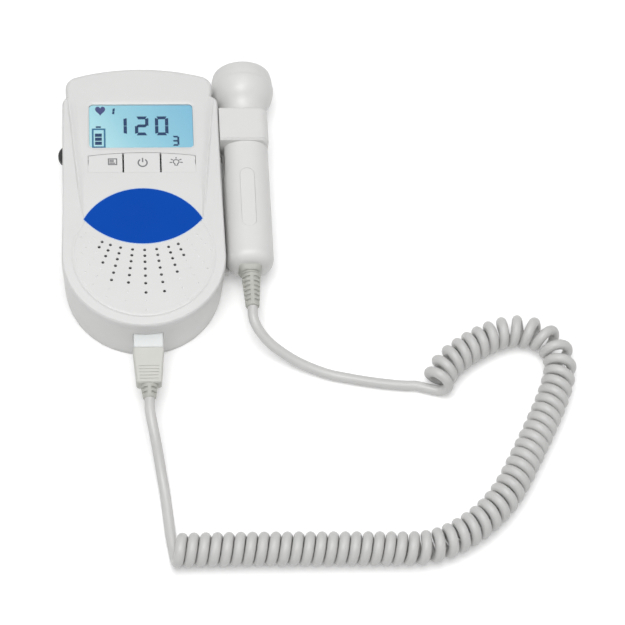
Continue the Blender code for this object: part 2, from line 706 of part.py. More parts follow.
def window_cutter():
    """Display opening, flared from the lens towards the front face."""
    bm = bmesh.new()
    low_z = INNER_FACE_Z - CUT_OVERRUN
    top_z = FACE_Z + CUT_OVERRUN
    lower = window_outline(0.0)
    upper = window_outline(WINDOW_FLARE * (top_z - LENS_TOP_Z) / LENS_SINK)
    levels = ((lower, low_z), (lower, LENS_TOP_Z), (upper, top_z))
    rings = [[bm.verts.new((x, y, z)) for x, y in loop] for loop, z in levels]
    count = len(lower)
    for a, b in zip(rings, rings[1:]):
        for k in range(count):
            bm.faces.new((a[k], a[(k + 1) % count], b[(k + 1) % count], b[k]))
    bm.faces.new(rings[0][::-1])
    bm.faces.new(rings[-1])
    return add_object("window_cutter", finish_mesh(bm, "window_cutter"))


def grille_cutter():
    """All the speaker holes as one cutter."""
    bm = bmesh.new()
    depth = WALL + 2 * CUT_OVERRUN
    middle = (FACE_Z + INNER_FACE_Z) / 2
    for ray, count in zip(GRILLE_RAYS_DEG, GRILLE_COUNTS):
        angle = math.radians(ray)
        for radius in GRILLE_RADII[:count]:
            x = radius * math.sin(angle)
            y = GRILLE_FOCUS_Y - radius * math.cos(angle)
            bmesh.ops.create_cone(bm, cap_ends=True, segments=6, radius1=GRILLE_HOLE_RADIUS,
                                  radius2=GRILLE_HOLE_RADIUS, depth=depth,
                                  matrix=Matrix.Translation((x, y, middle)))
    return add_object("grille_cutter", finish_mesh(bm, "grille_cutter"))


def screw_places():
    return ((-SCREW_UPPER_X, SCREW_UPPER_Y), (SCREW_UPPER_X, SCREW_UPPER_Y),
            (-SCREW_LOWER_X, SCREW_LOWER_Y), (SCREW_LOWER_X, SCREW_LOWER_Y))


def front_shell():
    shell = prism("front_shell", unit_outline(0.0, DOCK_RELIEF), PARTING_Z, FACE_Z, CASE_WHITE)
    round_edges(shell, at_top, FACE_ROUND, 3)
    cut(shell, prism("front_hollow", unit_outline(WALL, DOCK_RELIEF), PARTING_Z - CUT_OVERRUN,
                     INNER_FACE_Z))
    cut(shell, band_cutter())
    for index, (x, y) in enumerate(screw_places(), 1):
        join(shell, cylinder(f"front_boss_{index}", x, y, PILLAR_TOP_Z + GAP,
                             INNER_FACE_Z + JOIN_OVERLAP, PILLAR_RADIUS, 12))
        cut(shell, cylinder(f"front_pilot_{index}", x, y, PILLAR_TOP_Z - CUT_OVERRUN,
                            SCREW_TIP_Z + GAP, SCREW_RADIUS + GAP, 10))
    cut(shell, window_cutter())
    opening = key_outline(-KEY_HALF_SPAN, KEY_HALF_SPAN, 0.0)
    cut(shell, prism("key_opening", opening, INNER_FACE_Z - CUT_OVERRUN, FACE_Z + CUT_OVERRUN))
    cut(shell, prism("label_recess", label_outline(0.0), label_bottom() - GAP,
                     FACE_Z + CUT_OVERRUN))
    cut(shell, grille_cutter())
    return shell


def label_bottom():
    return FACE_Z + LABEL_PROUD - LABEL_THICKNESS


def bay_y(sign, extra):
    return CELL_ROWS_Y + sign * (BAY_HALF_DEPTH + extra)


def back_shell():
    shell = prism("back_shell", unit_outline(0.0), 0.0, BACK_TOP_Z, CASE_WHITE)
    round_edges(shell, at_bottom, BASE_ROUND, 2)
    cut(shell, prism("back_hollow", unit_outline(WALL), FLOOR, BACK_TOP_Z + CUT_OVERRUN))
    edge = BAY_WALL
    join(shell, box("bay_outer", (-BAY_HALF_WIDTH - edge, bay_y(-1, edge), FLOOR - JOIN_OVERLAP),
                    (BAY_HALF_WIDTH + edge, bay_y(1, edge), BAY_ROOF_Z)))
    cut(shell, box("bay_inner", (-BAY_HALF_WIDTH, bay_y(-1, 0.0), -CUT_OVERRUN),
                   (BAY_HALF_WIDTH, bay_y(1, 0.0), BAY_INNER_TOP_Z)))
    cut(shell, prism("door_opening", door_outline(GAP, CUT_OVERRUN), -CUT_OVERRUN,
                     DOOR_THICKNESS + GAP))
    for index, (x, y) in enumerate(screw_places(), 1):
        join(shell, cylinder(f"back_pillar_{index}", x, y, FLOOR - JOIN_OVERLAP, PILLAR_TOP_Z,
                             PILLAR_RADIUS, 12))
        head_top = SCREW_SINK + SCREW_HEAD_HEIGHT + GAP
        cut(shell, cylinder(f"head_recess_{index}", x, y, -CUT_OVERRUN, head_top,
                            SCREW_HEAD_RADIUS + GAP, 12))
        cut(shell, cylinder(f"screw_way_{index}", x, y, SCREW_SINK, PILLAR_TOP_Z + CUT_OVERRUN,
                            SCREW_RADIUS + GAP, 10))
    web_end = UNIT_HALF_WIDTH + RAIL_WEB_REACH
    flange_end = web_end + RAIL_FLANGE_THICKNESS
    rail_top = RAIL_START_Y + RAIL_LENGTH
    join(shell, box("rail_web", (UNIT_HALF_WIDTH - WALL / 2, RAIL_START_Y, PROBE_Z - RAIL_WEB_HALF),
                    (web_end + JOIN_OVERLAP, rail_top, PROBE_Z + RAIL_WEB_HALF)))
    join(shell, box("rail_flange", (web_end, RAIL_START_Y, PROBE_Z - RAIL_FLANGE_HALF),
                    (flange_end, rail_top, PROBE_Z + RAIL_FLANGE_HALF)))
    mouth_x = PLUG_NOSE_HALF_WIDTH + GAP
    mouth_z = PLUG_NOSE_HALF_HEIGHT + GAP
    foot = LOWER_END_Y
    cut(shell, box("plug_mouth", (PLUG_X - mouth_x, foot - CUT_OVERRUN, PLUG_Z - mouth_z),
                   (PLUG_X + mouth_x, foot + WALL + CUT_OVERRUN, PLUG_Z + mouth_z)))
    slot_half = math.sqrt(WHEEL_RADIUS ** 2 - (WHEEL_X + UNIT_HALF_WIDTH - WALL) ** 2) + WHEEL_CLEARANCE
    cut(shell, box("wheel_slot", (-UNIT_HALF_WIDTH - CUT_OVERRUN, WHEEL_Y - slot_half,
                                  WHEEL_Z - WHEEL_CLEARANCE),
                   (-UNIT_HALF_WIDTH + WALL + CUT_OVERRUN, WHEEL_Y + slot_half,
                    BACK_TOP_Z + CUT_OVERRUN)))
    return shell


def display():
    outer_x = WINDOW_HALF_WIDTH + BEZEL_BORDER
    low = BOARD_TOP_Z + GAP
    top = INNER_FACE_Z - GAP
    bezel = box("lcd_bezel", (-outer_x, WINDOW_BOTTOM_Y - BEZEL_BORDER, low),
                (outer_x, WINDOW_BOTTOM_Y + WINDOW_HEIGHT + BEZEL_BORDER, top), CASE_WHITE)
    cut(bezel, prism("bezel_hole", window_outline(0.0), low - CUT_OVERRUN, top + CUT_OVERRUN))
    z = low
    for name, thickness, mat in (("lcd_backlight", BACKLIGHT_THICKNESS, DIFFUSER),
                                 ("lcd_panel", PANEL_THICKNESS, DISPLAY_CYAN),
                                 ("lcd_lens", LENS_THICKNESS, CLEAR_LENS)):
        prism(name, window_outline(-GAP), z, z + thickness, mat)
        z += thickness + GAP


def key_spans():
    inner = KEY_MIDDLE_HALF_WIDTH
    slit = KEY_SLIT - GAP
    return ((-KEY_HALF_SPAN, -inner - slit), (-inner - GAP, inner + GAP), (inner + slit, KEY_HALF_SPAN))


def keys():
    low = BOARD_TOP_Z + GAP
    key_low = FACE_Z - KEY_THICKNESS
    plunger_top = key_low - GAP
    plunger_low = low + SWITCH_HEIGHT - PLUNGER_ENGAGED
    for name, (left, right) in zip(KEY_NAMES, key_spans()):
        centre = (left + right) / 2
        key = prism(f"key_{name}", key_outline(left, right, GAP), key_low, FACE_Z, CASE_WHITE)
        shift_origin(key, (centre, KEY_HINGE_Y + GAP, (key_low + FACE_Z) / 2))
        half = SWITCH_SIDE / 2
        body = box(f"switch_{name}", (centre - half, SWITCH_ROW_Y - half, low),
                   (centre + half, SWITCH_ROW_Y + half, low + SWITCH_HEIGHT), BLACK_PLASTIC)
        cut(body, cylinder(f"switch_well_{name}", centre, SWITCH_ROW_Y,
                           plunger_low - PLUNGER_TRAVEL - GAP, low + SWITCH_HEIGHT + CUT_OVERRUN,
                           PLUNGER_RADIUS + GAP, 16))
        cylinder(f"switch_plunger_{name}", centre, SWITCH_ROW_Y, plunger_low, plunger_top,
                 PLUNGER_RADIUS, 16, BLACK_PLASTIC)


def shift_origin(item, place):
    """Move an object's origin to a place in the world and leave its shape where it is."""
    bpy.context.view_layer.update()
    offset = item.matrix_world.inverted() @ Vector(place)
    item.data.transform(Matrix.Translation(-offset))
    item.location = item.matrix_world @ offset


def label_plate():
    prism("label_plate", label_outline(GAP), label_bottom(), FACE_Z + LABEL_PROUD, LABEL_BLUE)


def speaker():
    top = INNER_FACE_Z - GAP
    neck_z = top - SPEAKER_DEPTH
    sheet = SPEAKER_SHEET
    inner = SPEAKER_RADIUS - SPEAKER_FLANGE
    profile = ((SPEAKER_RADIUS, top), (SPEAKER_RADIUS, top - sheet), (inner, top - sheet),
               (SPEAKER_NECK_RADIUS, neck_z), (MAGNET_RADIUS / 2, neck_z),
               (MAGNET_RADIUS / 2, neck_z + sheet), (SPEAKER_NECK_RADIUS, neck_z + sheet),
               (inner - sheet, top))
    frame = lathe("speaker_frame", profile, 32, STEEL, closed=True)
    frame.location = (0.0, SPEAKER_Y, 0.0)
    rim = inner - sheet - CONE_RIM_INSET
    cone_top = top - GAP
    cone = lathe("speaker_cone", ((0.0, cone_top - CONE_SAG + CONE_SHEET),
                                  (SPEAKER_NECK_RADIUS / 2, cone_top - CONE_SAG + CONE_SHEET),
                                  (rim, cone_top), (rim - CONE_SHEET, cone_top - CONE_SHEET),
                                  (SPEAKER_NECK_RADIUS / 2, cone_top - CONE_SAG),
                                  (0.0, cone_top - CONE_SAG)), 32, PAPER)
    cone.location = (0.0, SPEAKER_Y, 0.0)
    magnet_top = neck_z - GAP
    cylinder("speaker_magnet", 0.0, SPEAKER_Y, magnet_top - MAGNET_THICKNESS, magnet_top,
             MAGNET_RADIUS, 24, FERRITE)


def batteries():
    for index, sign in ((1, 1), (2, -1)):
        y = CELL_ROWS_Y + sign * CELL_PITCH / 2
        half = CELL_LENGTH / 2
        profile = ((0.0, half + CELL_NUB_LENGTH), (CELL_NUB_RADIUS, half + CELL_NUB_LENGTH),
                   (CELL_NUB_RADIUS, half), (CELL_RADIUS, half), (CELL_RADIUS, -half),
                   (0.0, -half))
        plus_gap = BAY_HALF_WIDTH - GAP - CONTACT_THICKNESS - GAP
        centre = sign * (plus_gap - half - CELL_NUB_LENGTH)
        cell = lathe(f"battery_{index}", profile, 20, CELL_WRAP)
        cell.rotation_euler = (0.0, sign * math.pi / 2, 0.0)
        cell.location = (centre, y, CELL_AXIS_Z)
        smooth(cell)
        for end in (1, -1):
            kind = "plus" if end == 1 else "minus"
            outer = sign * end * (BAY_HALF_WIDTH - GAP)
            inner = outer - sign * end * CONTACT_THICKNESS
            box(f"contact_{kind}_{index}",
                (min(outer, inner), y - CONTACT_HALF_WIDTH, CELL_AXIS_Z - CONTACT_HALF_WIDTH),
                (max(outer, inner), y + CONTACT_HALF_WIDTH, CELL_AXIS_Z + CONTACT_HALF_WIDTH), STEEL)
        start = -sign * (BAY_HALF_WIDTH - GAP - CONTACT_THICKNESS - GAP - SPRING_WIRE / 2)
        stop = centre - sign * (half + GAP + SPRING_WIRE / 2)
        spring_points = []
        steps = SPRING_TURNS * CURL_POINTS
        for i in range(steps + 1):
            share = i / steps
            radius = SPRING_BASE_RADIUS + (SPRING_TIP_RADIUS - SPRING_BASE_RADIUS) * share
            angle = math.tau * SPRING_TURNS * share
            spring_points.append((start + (stop - start) * share, y + radius * math.cos(angle),
                                  CELL_AXIS_Z + radius * math.sin(angle)))
        tube(f"battery_spring_{index}", spring_points, SPRING_WIRE / 2, 1, STEEL)


def door_outline(margin, overrun):
    """Door that reaches the unit's lower end: square at the top, and round like the end below."""
    half = BAY_HALF_WIDTH + DOOR_LEDGE + margin
    radius = UNIT_HALF_WIDTH + overrun
    lean = math.degrees(math.acos(half / radius))
    points = arc((0.0, FOOT_CENTRE_Y), radius, lean - 180, -lean, 16)
    top = bay_y(1, DOOR_LEDGE + margin)
    corner = DOOR_CORNER
    points += arc((half - corner, top - corner), corner, 0, 90, 2)
    points += arc((corner - half, top - corner), corner, 90, 180, 2)
    return points


def battery_door():
    door = prism("battery_door", door_outline(0.0, 0.0), 0.0, DOOR_THICKNESS, CASE_WHITE)

    def lower_end(edge):
        out = [math.hypot(v.co.x, v.co.y - FOOT_CENTRE_Y) for v in edge.verts]
        low = max(v.co.y for v in edge.verts) < FOOT_CENTRE_Y
        return at_bottom(edge) and low and min(out) > UNIT_HALF_WIDTH - GAP

    round_edges(door, lower_end, BASE_ROUND, 2)
    for index in range(DOOR_GRIP_COUNT):
        y = LOWER_END_Y + DOOR_GRIP_ABOVE_END + DOOR_GRIP_PITCH * index
        cut(door, box(f"door_grip_{index}", (-DOOR_GRIP_HALF_LENGTH, y, -CUT_OVERRUN),
                      (DOOR_GRIP_HALF_LENGTH, y + DOOR_GRIP_WIDTH, DOOR_GRIP_DEPTH)))


def boards():
    board = box("main_board", (-BOARD_HALF_WIDTH, BOARD_BOTTOM_Y, BOARD_Z),
                (BOARD_HALF_WIDTH, BOARD_TOP_Y, BOARD_TOP_Z), BOARD_GREEN)
    notch = POT_HALF_SIDE + GAP
    cut(board, box("wheel_notch", (-BOARD_HALF_WIDTH - CUT_OVERRUN, WHEEL_Y - notch,
                                   BOARD_Z - CUT_OVERRUN),
                   (WHEEL_X + notch, WHEEL_Y + notch, BOARD_TOP_Z + CUT_OVERRUN)))
    for name, x, above, side in (("processor_chip", PROCESSOR_X, PROCESSOR_ABOVE_FOOT, PROCESSOR_SIDE),
                             ("amplifier_chip", AMPLIFIER_X, AMPLIFIER_ABOVE_FOOT, AMPLIFIER_SIDE)):
        low = BOARD_TOP_Z + GAP
        y = FOOT_CENTRE_Y + above
        box(name, (x - side / 2, y - side / 2, low), (x + side / 2, y + side / 2, low + CHIP_HEIGHT),
            BLACK_PLASTIC)


def volume_control():
    outline = []
    for i in range(2 * WHEEL_RIDGES):
        angle = math.tau * i / (2 * WHEEL_RIDGES)
        radius = WHEEL_RADIUS - WHEEL_RIDGE_DEPTH * (i % 2)
        outline.append((WHEEL_X + radius * math.cos(angle), WHEEL_Y + radius * math.sin(angle)))
    wheel = prism("volume_wheel", outline, WHEEL_Z, WHEEL_TOP_Z, BLACK_PLASTIC)
    shift_origin(wheel, (WHEEL_X, WHEEL_Y, (WHEEL_Z + WHEEL_TOP_Z) / 2))
    shaft_radius = WHEEL_BORE_RADIUS - GAP
    cut(wheel, cylinder("wheel_bore", WHEEL_X, WHEEL_Y, WHEEL_Z - CUT_OVERRUN,
                        WHEEL_Z + WHEEL_THICKNESS * WHEEL_BORE_SHARE, WHEEL_BORE_RADIUS, 16))
    top = WHEEL_Z - GAP
    outer_x = WALL + WHEEL_CLEARANCE - UNIT_HALF_WIDTH
    pot = box("volume_pot", (outer_x, WHEEL_Y - POT_HALF_SIDE, top - POT_HEIGHT),
              (WHEEL_X + POT_HALF_SIDE, WHEEL_Y + POT_HALF_SIDE, top), BLACK_PLASTIC)
    join(pot, cylinder("pot_shaft", WHEEL_X, WHEEL_Y, top - JOIN_OVERLAP,
                       WHEEL_Z + WHEEL_THICKNESS / 2, shaft_radius, 16))


def shell_screws():
    head_top = SCREW_SINK + SCREW_HEAD_HEIGHT
    tip = SCREW_TIP_Z
    profile = ((0.0, tip), (SCREW_RADIUS, tip - SCREW_RADIUS), (SCREW_RADIUS, head_top),
               (SCREW_HEAD_RADIUS, head_top), (SCREW_HEAD_RADIUS, SCREW_SINK), (0.0, SCREW_SINK))
    for index, (x, y) in enumerate(screw_places(), 1):
        screw = lathe(f"shell_screw_{index}", profile, 12, STEEL)
        screw.location = (x, y, 0.0)
        reach = SCREW_HEAD_RADIUS * SCREW_SLOT_SHARE
        half = SCREW_SLOT_WIDTH / 2
        for number, (a, b) in enumerate(((reach, half), (half, reach)), 1):
            cut(screw, box(f"screw_slot_{index}_{number}", (x - a, y - b, SCREW_SINK - CUT_OVERRUN),
                           (x + a, y + b, SCREW_SINK + SCREW_SLOT_DEPTH)))


def probe_socket():
    """Housing behind the unit's wall that the plug's nose goes into."""
    inner_end = LOWER_END_Y + PLUG_INSERTED + GAP
    wall = SOCKET_WALL
    x = PLUG_NOSE_HALF_WIDTH + GAP
    z = PLUG_NOSE_HALF_HEIGHT + GAP
    corner_x = PLUG_X + x + wall
    front_y = FOOT_CENTRE_Y - math.sqrt((UNIT_HALF_WIDTH - WALL) ** 2 - corner_x ** 2) + GAP
    socket = box("probe_socket", (PLUG_X - x - wall, front_y, PLUG_Z - z - wall),
                 (PLUG_X + x + wall, inner_end + SOCKET_BACK, PLUG_Z + z + wall), BLACK_PLASTIC)
    cut(socket, box("socket_well", (PLUG_X - x, front_y - CUT_OVERRUN, PLUG_Z - z),
                    (PLUG_X + x, inner_end, PLUG_Z + z)))


def tapered_box(name, y_low, y_high, half_low, half_high, centre, mat=None):
    """Box along Y whose (x, z) half sizes change from half_low to half_high."""
    bm = bmesh.new()
    bmesh.ops.create_cube(bm, size=1.0)
    for v in bm.verts:
        half = half_high if v.co.y > 0.0 else half_low
        v.co = (math.copysign(half[0], v.co.x), y_high if v.co.y > 0.0 else y_low,
                math.copysign(half[1], v.co.z))
    item = add_object(name, finish_mesh(bm, name), mat)
    item.location = (centre[0], 0.0, centre[1])
    return item


def slotted_sleeve(name, y_root, length, root_radius, tip_radius, slots, centre, mat):
    """Tapered strain relief, thinner between its rings, with four spines along it."""
    x, z = centre
    pitch = length / (slots + 1)
    slot = pitch / 2

    def radius_at(distance):
        return root_radius + (tip_radius - root_radius) * distance / length

    profile = [(0.0, y_root), (root_radius, y_root)]
    for i in range(slots):
        start = pitch * (i + 1) - slot / 2
        for distance, depth in ((start, 0.0), (start, SLOT_DEPTH), (start + slot, SLOT_DEPTH),
                                (start + slot, 0.0)):
            profile.append((radius_at(distance) - depth, y_root - distance))
    profile += [(tip_radius, y_root - length), (0.0, y_root - length)]
    sleeve = along_y(lathe(name, profile, 16, mat), x, z)
    inset = SLOT_DEPTH / 4
    for number, turn in enumerate((0, 1), 1):
        root = (root_radius - inset, SPINE_HALF_WIDTH)
        tip = (tip_radius - inset, SPINE_HALF_WIDTH)
        if turn:
            root, tip = root[::-1], tip[::-1]
        join(sleeve, tapered_box(f"{name}_spine_{number}", y_root - length + inset, y_root - inset,
                                 tip, root, centre))
    return sleeve


def plug_base_y():
    """Where the plug's body starts, just outside the unit's wall."""
    return LOWER_END_Y - PLUG_NOSE_PROUD


def plug():
    centre = (PLUG_X, PLUG_Z)
    base = plug_base_y()
    wall_y = LOWER_END_Y
    nose = box("plug_nose", (PLUG_X - PLUG_NOSE_HALF_WIDTH, base + GAP, PLUG_Z - PLUG_NOSE_HALF_HEIGHT),
               (PLUG_X + PLUG_NOSE_HALF_WIDTH, wall_y + PLUG_INSERTED, PLUG_Z + PLUG_NOSE_HALF_HEIGHT),
               CASE_WHITE)
    round_edges(nose, lengthwise, PLUG_EDGE, 2)
    rear = base - PLUG_BODY_LENGTH
    body = tapered_box("plug_body", rear, base, (PLUG_REAR_HALF_WIDTH, PLUG_REAR_HALF_HEIGHT),
                       (PLUG_BODY_HALF_WIDTH, PLUG_BODY_HALF_HEIGHT), centre, GREY_RUBBER)
    round_edges(body, sharp, PLUG_EDGE, 2)
    for side in (1, -1):
        for index in range(PLUG_RIBS):
            y = rear + PLUG_RIB_PITCH * (index + 1)
            share = (y - rear) / PLUG_BODY_LENGTH
            height = PLUG_REAR_HALF_HEIGHT + (PLUG_BODY_HALF_HEIGHT - PLUG_REAR_HALF_HEIGHT) * share
            level = PLUG_Z + side * (height - PLUG_RIB_DEPTH)
            far = level + side * (PLUG_RIB_DEPTH + CUT_OVERRUN)
            cut(body, box(f"plug_rib_{side}_{index}",
                          (PLUG_X - PLUG_RIB_HALF_LENGTH, y, min(level, far)),
                          (PLUG_X + PLUG_RIB_HALF_LENGTH, y + PLUG_RIB_WIDTH, max(level, far))))
    slotted_sleeve("plug_boot", rear - GAP, PLUG_BOOT_LENGTH, PLUG_BOOT_RADIUS,
                   PLUG_BOOT_TIP_RADIUS, PLUG_BOOT_SLOTS, centre, GREY_RUBBER)


def handle_profile():
    """Handle from inside the block's bevel down to its rounded end."""
    start = BLOCK_BOTTOM_Y + BLOCK_BEVEL + JOIN_OVERLAP
    points = [(0.0, start), (HANDLE_RADIUS, start)]
    centre = (HANDLE_RADIUS - HANDLE_END_ROUND, HANDLE_END_Y + HANDLE_END_ROUND)
    points += arc(centre, HANDLE_END_ROUND, 0, -90, 6)
    points.append((0.0, HANDLE_END_Y))
    return points


def probe_body():
    """Handle and coupling block in one moulding, with the board's bore and the rail's slot."""
    right_x = PROBE_X + HANDLE_RADIUS
    block = box("probe_body", (BLOCK_LEFT_X, BLOCK_BOTTOM_Y, PROBE_Z - BLOCK_HALF_HEIGHT),
                (right_x, BLOCK_TOP_Y, PROBE_Z + BLOCK_HALF_HEIGHT), CASE_WHITE)

    def right_edge(edge):
        return lengthwise(edge) and edge.verts[0].co.x > 0.0

    def end_edge(edge):
        return sharp(edge) and not lengthwise(edge)

    round_edges(block, right_edge, BLOCK_ROUND, 6)
    round_edges(block, end_edge, BLOCK_BEVEL, 1)
    join(block, along_y(lathe("handle", handle_profile(), 40), PROBE_X, PROBE_Z))
    cut(block, along_y(lathe("handle_bore", ((0.0, BLOCK_TOP_Y + CUT_OVERRUN),
                                             (BORE_RADIUS, BLOCK_TOP_Y + CUT_OVERRUN),
                                             (BORE_RADIUS, BORE_END_Y), (0.0, BORE_END_Y)), 24),
                       PROBE_X, PROBE_Z))
    slot_web = RAIL_WEB_HALF + GAP
    slot_flange = RAIL_FLANGE_HALF + GAP
    web_end = UNIT_HALF_WIDTH + RAIL_WEB_REACH
    flange_low = web_end - GAP
    flange_high = web_end + RAIL_FLANGE_THICKNESS + GAP
    rail_top = RAIL_START_Y + RAIL_LENGTH + GAP
    low = RAIL_START_Y - DOCK_TRAVEL - GAP
    cut(block, box("slot_web", (BLOCK_LEFT_X - CUT_OVERRUN, low, PROBE_Z - slot_web),
                   (flange_low + JOIN_OVERLAP, rail_top, PROBE_Z + slot_web)))
    cut(block, box("slot_flange", (flange_low, BLOCK_BOTTOM_Y - JOIN_OVERLAP, PROBE_Z - slot_flange),
                   (flange_high, rail_top, PROBE_Z + slot_flange)))
    cut(block, box("handle_channel", (BLOCK_LEFT_X - CUT_OVERRUN, low, PROBE_Z - slot_flange),
                   (flange_high, BLOCK_BOTTOM_Y, PROBE_Z + slot_flange)))
    pocket = rounded_rectangle(PLATE_HALF_WIDTH + GAP, PLATE_CENTRE_Y - PLATE_LENGTH / 2 - GAP,
                               PLATE_CENTRE_Y + PLATE_LENGTH / 2 + GAP, PLATE_HALF_WIDTH, 5)
    pocket = [(x + PROBE_X, y) for x, y in pocket]
    plate_top = PROBE_Z + HANDLE_RADIUS - PLATE_SINK
    cut(block, prism("plate_pocket", pocket, plate_top - PLATE_THICKNESS - GAP,
                     plate_top + CUT_OVERRUN))
    seat_x = GROMMET_HALF_WIDTH + GAP
    seat_z = GROMMET_HALF_HEIGHT + GAP
    cut(block, box("grommet_seat", (PROBE_X - seat_x, HANDLE_END_Y - CUT_OVERRUN, PROBE_Z - seat_z),
                   (PROBE_X + seat_x, GROMMET_TOP_Y + GAP, PROBE_Z + HANDLE_RADIUS + CUT_OVERRUN)))
    plate = rounded_rectangle(PLATE_HALF_WIDTH, PLATE_CENTRE_Y - PLATE_LENGTH / 2,
                              PLATE_CENTRE_Y + PLATE_LENGTH / 2, PLATE_HALF_WIDTH - GAP, 5)
    plate = [(x + PROBE_X, y) for x, y in plate]
    prism("probe_plate", plate, plate_top - PLATE_THICKNESS, plate_top, CASE_WHITE)
    return block


def full_curve(turn, inner, reach, start_y, power):
    """Point of the head's side, from its end at turn zero to its widest ring at a right angle."""
    across = math.sin(turn) ** (2 / power)
    along = math.cos(turn) ** (2 / power)
    return inner + (HEAD_RADIUS - inner) * across, start_y + reach * along


def probe_head():
    """Head cup, a dome that flares up from the block; lens, crystals and backing sit inside."""
    widest_y = HEAD_FACE_Y - HEAD_CROWN_LENGTH
    neck_low = BLOCK_TOP_Y + GAP
    cup_floor = HEAD_FACE_Y - HEAD_CUP_DEPTH
    profile = [(0.0, cup_floor), (HEAD_CUP_RADIUS, cup_floor), (HEAD_CUP_RADIUS, HEAD_FACE_Y)]
    steps = 6
    for i in range(steps + 1):
        turn = math.pi / 2 * i / steps
        profile.append(full_curve(turn, HEAD_FACE_RADIUS, HEAD_CROWN_LENGTH, widest_y, HEAD_CROWN_CURVE))
    for i in range(1, steps + 1):
        turn = math.pi / 2 * (1 - i / steps)
        profile.append(full_curve(turn, NECK_RADIUS, neck_low - widest_y, widest_y, HEAD_FLARE_CURVE))
    profile += [(SPIGOT_RADIUS, neck_low), (SPIGOT_RADIUS, neck_low - SPIGOT_LENGTH),
                (0.0, neck_low - SPIGOT_LENGTH)]
    head = along_y(lathe("probe_head", profile, 40, CASE_WHITE), PROBE_X, PROBE_Z)
    smooth(head)
    radius = HEAD_CUP_RADIUS - GAP
    lens_low = HEAD_FACE_Y - ACOUSTIC_THICKNESS
    lens = lathe("acoustic_lens", ((0.0, HEAD_FACE_Y), (radius * ACOUSTIC_FLAT_SHARE, HEAD_FACE_Y),
                                   (radius, HEAD_FACE_Y - ACOUSTIC_CROWN), (radius, lens_low),
                                   (0.0, lens_low)), 32, ACOUSTIC)
    along_y(lens, PROBE_X, PROBE_Z)
    crystal_top = lens_low - GAP
    crystal_low = crystal_top - CRYSTAL_THICKNESS
    for name, sign in (("crystal_transmit", 1), ("crystal_receive", -1)):
        disc = along_y(lathe(name, ((0.0, crystal_top), (CRYSTAL_RADIUS, crystal_top),
                                    (CRYSTAL_RADIUS, crystal_low), (0.0, crystal_low)), 24, CERAMIC),
                       PROBE_X, PROBE_Z)
        reach = CRYSTAL_RADIUS + CUT_OVERRUN
        near = PROBE_X + sign * CRYSTAL_SPLIT / 2
        far = PROBE_X - sign * reach
        cut(disc, box(name + "_trim", (min(near, far), crystal_low - CUT_OVERRUN, PROBE_Z - reach),
                      (max(near, far), crystal_top + CUT_OVERRUN, PROBE_Z + reach)))
    backing_top = crystal_low - GAP
    along_y(lathe("crystal_backing", ((0.0, backing_top), (radius, backing_top),
                                      (radius, backing_top - BACKING_THICKNESS),
                                      (0.0, backing_top - BACKING_THICKNESS)), 24, FERRITE),
            PROBE_X, PROBE_Z)


def probe_board():
    half = math.sqrt(BORE_RADIUS ** 2 - (PROBE_BOARD_THICKNESS / 2) ** 2) - GAP
    low = PROBE_Z - PROBE_BOARD_THICKNESS / 2
    box("probe_board", (PROBE_X - half, PROBE_BOARD_END_Y, low),
        (PROBE_X + half, PROBE_BOARD_END_Y + PROBE_BOARD_LENGTH, low + PROBE_BOARD_THICKNESS),
        BOARD_GREEN)


def probe_boot():
    low_y = GROMMET_TOP_Y - GROMMET_LENGTH
    low_half = (GROMMET_HALF_WIDTH - GROMMET_TAPER, GROMMET_HALF_HEIGHT - GROMMET_TAPER)
    grommet = tapered_box("probe_grommet", low_y, GROMMET_TOP_Y, low_half,
                          (GROMMET_HALF_WIDTH, GROMMET_HALF_HEIGHT), (PROBE_X, PROBE_Z), GREY_RUBBER)
    round_edges(grommet, lengthwise, GROMMET_ROUND, 2)
    tip_y = low_y - PROBE_BOOT_COLLAR
    collar = lathe("grommet_collar", ((0.0, low_y + JOIN_OVERLAP), (low_half[0], low_y + JOIN_OVERLAP),
                                      (low_half[0], low_y), (PROBE_BOOT_RADIUS - GAP, tip_y),
                                      (0.0, tip_y)), 20)
    join(grommet, along_y(collar, PROBE_X, PROBE_Z))
    slotted_sleeve("probe_boot", tip_y - GAP, PROBE_BOOT_LENGTH, PROBE_BOOT_RADIUS,
                   PROBE_BOOT_TIP_RADIUS, PROBE_BOOT_SLOTS, (PROBE_X, PROBE_Z), GREY_RUBBER)


def spline_points(route, spacing):
    """Even points on a smooth curve through the route's points."""
    nodes = [Vector(p) for p in route]
    nodes = [nodes[0] * 2 - nodes[1]] + nodes + [nodes[-1] * 2 - nodes[-2]]
    fine = []
    substeps = 24
    for a, b, c, d in zip(nodes, nodes[1:], nodes[2:], nodes[3:]):
        for i in range(substeps):
            t = i / substeps
            fine.append(((b * 2) + (c - a) * t + (a * 2 - b * 5 + c * 4 - d) * t ** 2
                         + (b * 3 - a - c * 3 + d) * t ** 3) / 2)
    fine.append(nodes[-2])
    lengths = [0.0]
    for a, b in zip(fine, fine[1:]):
        lengths.append(lengths[-1] + (b - a).length)
    count = max(2, round(lengths[-1] / spacing))
    points = []
    index = 0
    for i in range(count + 1):
        want = lengths[-1] * i / count
        while index < len(fine) - 2 and lengths[index + 1] < want:
            index += 1
        span = lengths[index + 1] - lengths[index]
        points.append(fine[index].lerp(fine[index + 1], (want - lengths[index]) / span))
    return points


